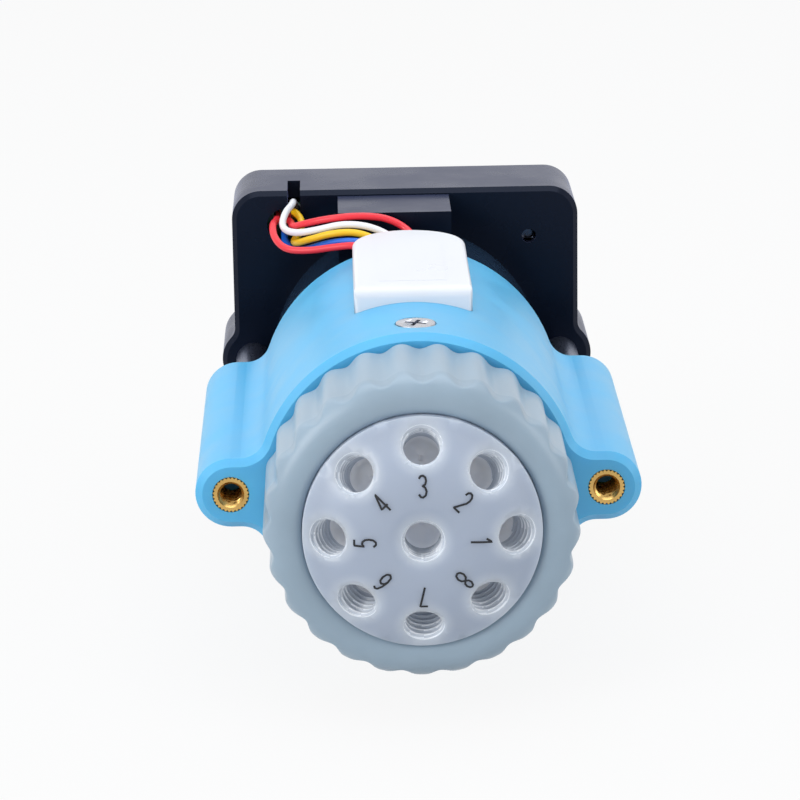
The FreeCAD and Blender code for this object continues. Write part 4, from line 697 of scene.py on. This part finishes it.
STROKES = {
    "1": [(-0.22, 0.74), (0.2, 1.0), (0.06, 0.0)],
    "2": [(-0.4, 0.78), (-0.3, 0.93), (-0.1, 1.0), (0.15, 0.98), (0.36, 0.86), (0.4, 0.7), (0.3, 0.52),
          (-0.1, 0.24), (-0.42, 0.0), (0.42, 0.0)],
    "3": [(-0.38, 0.86), (-0.2, 0.98), (0.05, 1.0), (0.3, 0.92), (0.38, 0.76), (0.28, 0.6), (0.0, 0.53),
          (0.28, 0.46), (0.42, 0.28), (0.32, 0.09), (0.05, 0.0), (-0.2, 0.02), (-0.4, 0.15)],
    "4": [(0.2, 0.0), (0.2, 1.0), (-0.42, 0.3), (0.45, 0.3)],
    "5": [(0.36, 1.0), (-0.3, 1.0), (-0.36, 0.55), (-0.1, 0.64), (0.15, 0.62), (0.36, 0.5), (0.43, 0.32),
          (0.35, 0.12), (0.1, 0.0), (-0.15, 0.0), (-0.4, 0.12)],
    "6": [(0.32, 0.92), (0.1, 1.0), (-0.15, 0.94), (-0.34, 0.7), (-0.4, 0.35), (-0.3, 0.1), (0.0, 0.0),
          (0.3, 0.1), (0.4, 0.32), (0.3, 0.53), (0.0, 0.62), (-0.28, 0.52), (-0.4, 0.35)],
    "7": [(-0.42, 1.0), (0.4, 1.0), (-0.1, 0.0)],
    "8": [(0.0, 0.54), (-0.27, 0.64), (-0.34, 0.8), (-0.2, 0.95), (0.0, 1.0), (0.2, 0.95), (0.34, 0.8),
          (0.27, 0.64), (0.0, 0.54), (-0.32, 0.42), (-0.42, 0.24), (-0.28, 0.06), (0.0, 0.0),
          (0.28, 0.06), (0.42, 0.24), (0.32, 0.42), (0.0, 0.54)],
}
DIGIT_HEIGHT = 3.2
DIGIT_WIDTH = 1.4
DIGIT_RADIUS = 8.6
DIGIT_DROP = 0.27
INK_HALF = 0.17
INK_RISE = 0.02
INK_TOP_SHARE = 0.88
STROKE_STEP = 0.06


def fine_line(points):
    """The stroke's corner points with more between them, so that it follows the dome."""
    line = []
    for one, two in zip(points, points[1:]):
        one, two = Vector(one), Vector(two)
        count = max(1, int((two - one).length / STROKE_STEP))
        line += [one.lerp(two, index / count) for index in range(count)]
    return line + [Vector(points[-1])]


def ink_stroke(points, angle):
    """A raised ribbon of ink along a stroke, laid on the dome with its top outwards."""
    line = [Vector((p.x * DIGIT_WIDTH, (p.y - 0.5) * DIGIT_HEIGHT)) for p in fine_line(points)]
    across = Vector((math.sin(angle), -math.cos(angle)))
    out = Vector((math.cos(angle), math.sin(angle)))
    section = [(-1, -INK_RISE), (-INK_TOP_SHARE, INK_RISE), (INK_TOP_SHARE, INK_RISE), (1, -INK_RISE)]
    rings = []
    for index, point in enumerate(line):
        ahead = line[min(index + 1, len(line) - 1)] - line[max(index - 1, 0)]
        side = Vector((-ahead.y, ahead.x)).normalized() * INK_HALF
        ring = []
        for offset, rise in section:
            flat = point + side * offset
            spot = out * (DIGIT_RADIUS + flat.y) + across * flat.x - Vector((0, DIGIT_DROP))
            ring.append((spot.x * MM, (dome_station(spot.length) - rise) * MM, spot.y * MM))
        rings.append(ring)
    return grid_mesh("ink", rings, caps=True)


def add_numbers():
    meshes = []
    for index in range(PORT_COUNT):
        angle = 2 * math.pi * index / PORT_COUNT
        meshes.append(ink_stroke(STROKES[str(index + 1)], angle))
    new_piece("port_numbers", joined("port_numbers", meshes), "black_ink")


add_numbers()


# Sensor cover: its front edge is rounder than in the solids, and its raised panel lower

def add_cover():
    low, high = (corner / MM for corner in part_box("sensor_cover"))
    front, top, radius = low.y, high.z - COVER_RELIEF, COVER_FRONT_ROUND
    panel, back = top + COVER_RELIEF_SEEN, high.y + CUT_ROOM
    above, before = top + CUT_ROOM, front - CUT_ROOM
    outline = [(back, panel), (back, above), (before, above), (before, top - radius)]
    for step in range(COVER_ROUND_STEPS + 1):
        angle = math.pi - math.pi / 2 * step / COVER_ROUND_STEPS
        outline.append((front + radius + radius * math.cos(angle), top - radius + radius * math.sin(angle)))
    outline.append((front + radius + COVER_PANEL_EDGE, panel))
    sides = (low.x - CUT_ROOM, high.x + CUT_ROOM)
    ends = [[(side * MM, y * MM, z * MM) for y, z in outline] for side in sides]
    mesh = carved("rounded_cover", solid_mesh("sensor_cover"), grid_mesh("edge_round", ends, caps=True))
    smooth(mesh, 30.0)
    mesh.materials.clear()
    keep_flats(new_piece("rounded_cover", mesh, "white_plastic", nodes=["sensor_cover"]))


add_cover()


# Brass inserts in the ears: knurled outside, threaded inside

INSERT_TEETH = 28
TOOTH_COLUMNS = 6
KNURL_DEPTH = 0.26
KNURL_SHAPE = 1.5
INSERT_EDGE = 0.06
INSERT_MOUTH = 2.08
INSERT_LEAD_RADIUS = 1.9
INSERT_LEAD_DEPTH = 0.22
INSERT_BACK_LEAD = 0.05
GROOVE_DEPTH = 0.4
GROOVE_EDGES = (3.0, 5.0)
GROOVE_FLOOR = (3.3, 4.7)
INSERT_THREAD_ROOT = 2.0
INSERT_THREAD_PITCH = 0.7
INSERT_THREAD_FLAT = 0.8
INSERT_THREAD_BACK = 7.8
INSERT_THREAD_LENGTH = 7.4
INSERT_THREAD_ROWS = 58
INSERT_FADE_ROWS = 4
INSERT_FADE_SHARE = 0.2


def insert_mesh():
    """One insert along +Y from its face: the outside first, then back through the threaded bore."""
    segments = INSERT_TEETH * TOOTH_COLUMNS

    def ring(radius_at, depth):
        points = []
        for column in range(segments):
            angle = 2 * math.pi * column / segments
            reach = radius_at(column) * MM
            points.append((reach * math.cos(angle), depth * MM, reach * math.sin(angle)))
        return points

    def plain(radius, depth):
        return ring(lambda column: radius, depth)

    def knurled(radius, depth):
        def notched(column):
            tooth = 0.5 + 0.5 * math.cos(2 * math.pi * column / TOOTH_COLUMNS)
            return radius - KNURL_DEPTH * tooth ** KNURL_SHAPE
        return ring(notched, depth)

    def threaded(depth, share):
        def on_helix(column):
            turns = depth / INSERT_THREAD_PITCH - column / segments
            return thread_radius(INSERT_BORE, INSERT_THREAD_ROOT, turns, INSERT_THREAD_FLAT, share)
        return ring(on_helix, depth)

    groove_radius = INSERT_RADIUS - GROOVE_DEPTH
    rings = [
        plain(INSERT_LEAD_RADIUS, INSERT_LEAD_DEPTH), plain(INSERT_MOUTH, 0.0),
        knurled(INSERT_RADIUS - INSERT_EDGE, 0.0), knurled(INSERT_RADIUS, INSERT_EDGE),
        knurled(INSERT_RADIUS, GROOVE_EDGES[0]), plain(groove_radius, GROOVE_FLOOR[0]),
        plain(groove_radius, GROOVE_FLOOR[1]), knurled(INSERT_RADIUS, GROOVE_EDGES[1]),
        knurled(INSERT_RADIUS, INSERT_LENGTH), plain(INSERT_BORE + INSERT_BACK_LEAD, INSERT_LENGTH),
    ]
    for row in range(INSERT_THREAD_ROWS + 1):
        depth = INSERT_THREAD_BACK - INSERT_THREAD_LENGTH * row / INSERT_THREAD_ROWS
        fade_out = (INSERT_THREAD_ROWS - row) / INSERT_FADE_ROWS + INSERT_FADE_SHARE
        rings.append(threaded(depth, min(1.0, row / INSERT_FADE_ROWS, fade_out)))
    return grid_mesh("insert", rings, closed_rows=True)


def add_inserts():
    insert = insert_mesh()
    sides = [moved(insert, Matrix.Translation((side * PANEL_HALF * MM, 0, 0))) for side in (-1, 1)]
    mesh = joined("knurled_inserts", sides)
    smooth(mesh, 25.0)
    new_piece("knurled_inserts", mesh, "brass", nodes=["panel_inserts"])


add_inserts()


# Screw heads: a drive recess cut in each

TOOL_START = -0.3
CROSS_FLARE = 1.1
CROSS_TAPER = 0.6
CROSS_TURN = 20
RECESS_REACH = 1.8
RECESS_DEPTH = 1.6
RECESS_RIM = 0.02
RECESS_SHADE = RECESS_DEPTH / 3
FLAT_FACING = 0.7


def cross_tool(reach, width, depth):
    """A tapering cross along +Z, as a driver leaves it; it starts a little outside the head."""
    def outline(scale, height):
        half, arm = width / 2 * scale, reach * scale
        corners = [(arm, half), (half, half), (half, arm), (-half, arm), (-half, half), (-arm, half),
                   (-arm, -half), (-half, -half), (-half, -arm), (half, -arm), (half, -half), (arm, -half)]
        return [(x * MM, y * MM, height * MM) for x, y in corners]
    rings = [outline(CROSS_FLARE, TOOL_START), outline(1.0, 0.0), outline(CROSS_TAPER, depth)]
    return grid_mesh("cross", rings, caps=True)


def socket_tool(across, depth, sides=6):
    """A prism along +Z with a size across its flats: a hexagon, or nearly round with many sides."""
    radius = across / 2 / math.cos(math.pi / sides)
    rings = []
    for height in (TOOL_START, depth):
        ring = []
        for corner in range(sides):
            angle = 2 * math.pi / sides * corner
            ring.append((radius * math.cos(angle) * MM, radius * math.sin(angle) * MM, height * MM))
        rings.append(ring)
    return grid_mesh("socket", rings, caps=True)


def add_screws(name, node, tool, heads, slot="screw_steel"):
    """The node's solids with a drive recess cut in each head, painted dark inside as shade."""
    places = [facing(*head) for head in heads]
    tools = joined("drives", [moved(tool, place) for place in places])
    mesh = carved(name, solid_mesh(node), tools)
    smooth(mesh, 32.0)
    # The second finish, dark_steel, is painted shade on the deep faces and upright walls of each recess
    set_materials(mesh, (slot, "dark_steel"))
    inward = [place.inverted() for place in places]
    for face in mesh.polygons:
        for place in inward:
            spot = place @ face.center / MM
            in_reach = math.hypot(spot.x, spot.y) < RECESS_REACH and RECESS_RIM < spot.z < RECESS_DEPTH
            upright = abs((place.to_3x3() @ face.normal).z) < FLAT_FACING
            if in_reach and (spot.z > RECESS_SHADE or upright):
                face.material_index = 1
    keep_flats(new_piece(name, mesh, slot, nodes=[node]))


def add_drives():
    up, back, front = (0, 0, 1), (0, 1, 0), (0, -1, 0)

    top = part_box("housing_screw")[1].z / MM
    cross = cross_tool(reach=1.75, width=0.62, depth=0.9)
    turned_cross = moved(cross, Matrix.Rotation(math.radians(CROSS_TURN), 4, "Z"))
    add_screws("housing_screw_head", "housing_screw", turned_cross, [((0, SCREW_STATION, top), up)])

    cross = cross_tool(reach=1.4, width=0.5, depth=0.7)
    sides, levels = (-PLATE_SCREW_X, PLATE_SCREW_X), (-PLATE_SCREW_Z, PLATE_SCREW_Z)
    heads = [((x, BOX_BACK, z), back) for x in sides for z in levels]
    add_screws("plate_screw_heads", "cover_screws", cross, heads)

    round_socket = socket_tool(across=1.5, depth=0.8, sides=32)
    head_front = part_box("front_screws")[0].y / MM
    corners = ((1, 1), (1, -1), (-1, -1))
    heads = [((x * FRONT_SCREW_X, head_front, z * FRONT_SCREW_Z), front) for x, z in corners]
    add_screws("recessed_screws", "front_screws", round_socket, heads, "dark_steel")

    hexagon = socket_tool(across=2.5, depth=1.5)
    head_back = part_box("long_screws")[1].y / MM
    heads = [((x, head_back, 0), back) for x in (-LOBE_OFFSET, LOBE_OFFSET)]
    add_screws("socket_screws", "long_screws", hexagon, heads)


add_drives()


# Floor, light and background

FLOOR_SIZE = 12
FLOOR_GLOW = 0.9
SKY_STRENGTH = 0.5


def seen_as(tree, lighting_shader, seen_shader, share=1.0):
    """Mix a shader with another that camera, glossy and transmitted rays see."""
    nodes = tree.nodes
    path = nodes.new("ShaderNodeLightPath")
    seen = path.outputs["Is Camera Ray"]
    for name in ("Is Glossy Ray", "Is Transmission Ray"):
        total = nodes.new("ShaderNodeMath")
        total.operation = "MAXIMUM"
        tree.links.new(seen, total.inputs[0])
        tree.links.new(path.outputs[name], total.inputs[1])
        seen = total.outputs["Value"]
    part = nodes.new("ShaderNodeMath")
    part.operation = "MULTIPLY"
    part.inputs[1].default_value = share
    tree.links.new(seen, part.inputs[0])
    mix = nodes.new("ShaderNodeMixShader")
    tree.links.new(part.outputs["Value"], mix.inputs["Fac"])
    tree.links.new(lighting_shader, mix.inputs[1])
    tree.links.new(seen_shader, mix.inputs[2])
    return mix.outputs["Shader"]


def add_floor():
    bpy.ops.mesh.primitive_plane_add(size=FLOOR_SIZE, location=(0, 0, FLOOR * MM))
    floor = bpy.context.object
    floor.name = "floor"
    material = bpy.data.materials.new("pale_floor")
    material.use_nodes = True
    tree = material.node_tree
    principled = tree.nodes["Principled BSDF"]
    principled.inputs["Base Color"].default_value = (0.6, 0.6, 0.6, 1)
    principled.inputs["Roughness"].default_value = 0.9
    glow = tree.nodes.new("ShaderNodeEmission")
    glow.inputs["Color"].default_value = (1, 1, 1, 1)
    mixed = seen_as(tree, principled.outputs["BSDF"], glow.outputs["Emission"], FLOOR_GLOW)
    tree.links.new(mixed, tree.nodes["Material Output"].inputs["Surface"])
    floor.data.materials.append(material)


def add_world():
    world = bpy.data.worlds.new("studio")
    world.use_nodes = True
    tree = world.node_tree
    tree.nodes.clear()
    output = tree.nodes.new("ShaderNodeOutputWorld")
    soft = tree.nodes.new("ShaderNodeBackground")
    soft.inputs["Color"].default_value = (0.93, 0.96, 1.0, 1)
    soft.inputs["Strength"].default_value = SKY_STRENGTH
    white = tree.nodes.new("ShaderNodeBackground")
    white.inputs["Color"].default_value = (1, 1, 1, 1)
    white.inputs["Strength"].default_value = 1.0
    mixed = seen_as(tree, soft.outputs["Background"], white.outputs["Background"])
    tree.links.new(mixed, output.inputs["Surface"])
    bpy.context.scene.world = world


def add_lamp(name, place, target, size, power, color=(1, 1, 1)):
    data = bpy.data.lights.new(name, "AREA")
    data.shape = "RECTANGLE"
    data.size, data.size_y = size
    data.energy = power
    data.color = color
    lamp = bpy.data.objects.new(name, data)
    bpy.context.collection.objects.link(lamp)
    lamp.location = place
    lamp.rotation_euler = (Vector(target) - Vector(place)).to_track_quat("-Z", "Y").to_euler()


add_floor()
add_world()
add_lamp("overhead", place=(0, 0.1, 0.75), target=(0, 0.04, 0), size=(0.9, 0.7), power=4.1,
         color=(0.9, 0.95, 1))
add_lamp("left_panel", place=(-0.7, -0.5, 0.35), target=(0, 0, 0), size=(0.5, 0.5), power=4.5)
add_lamp("right_panel", place=(0.75, -0.35, 0.3), target=(0, 0, 0), size=(0.5, 0.5), power=2.0)

bpy.context.scene.view_settings.view_transform = "Standard"
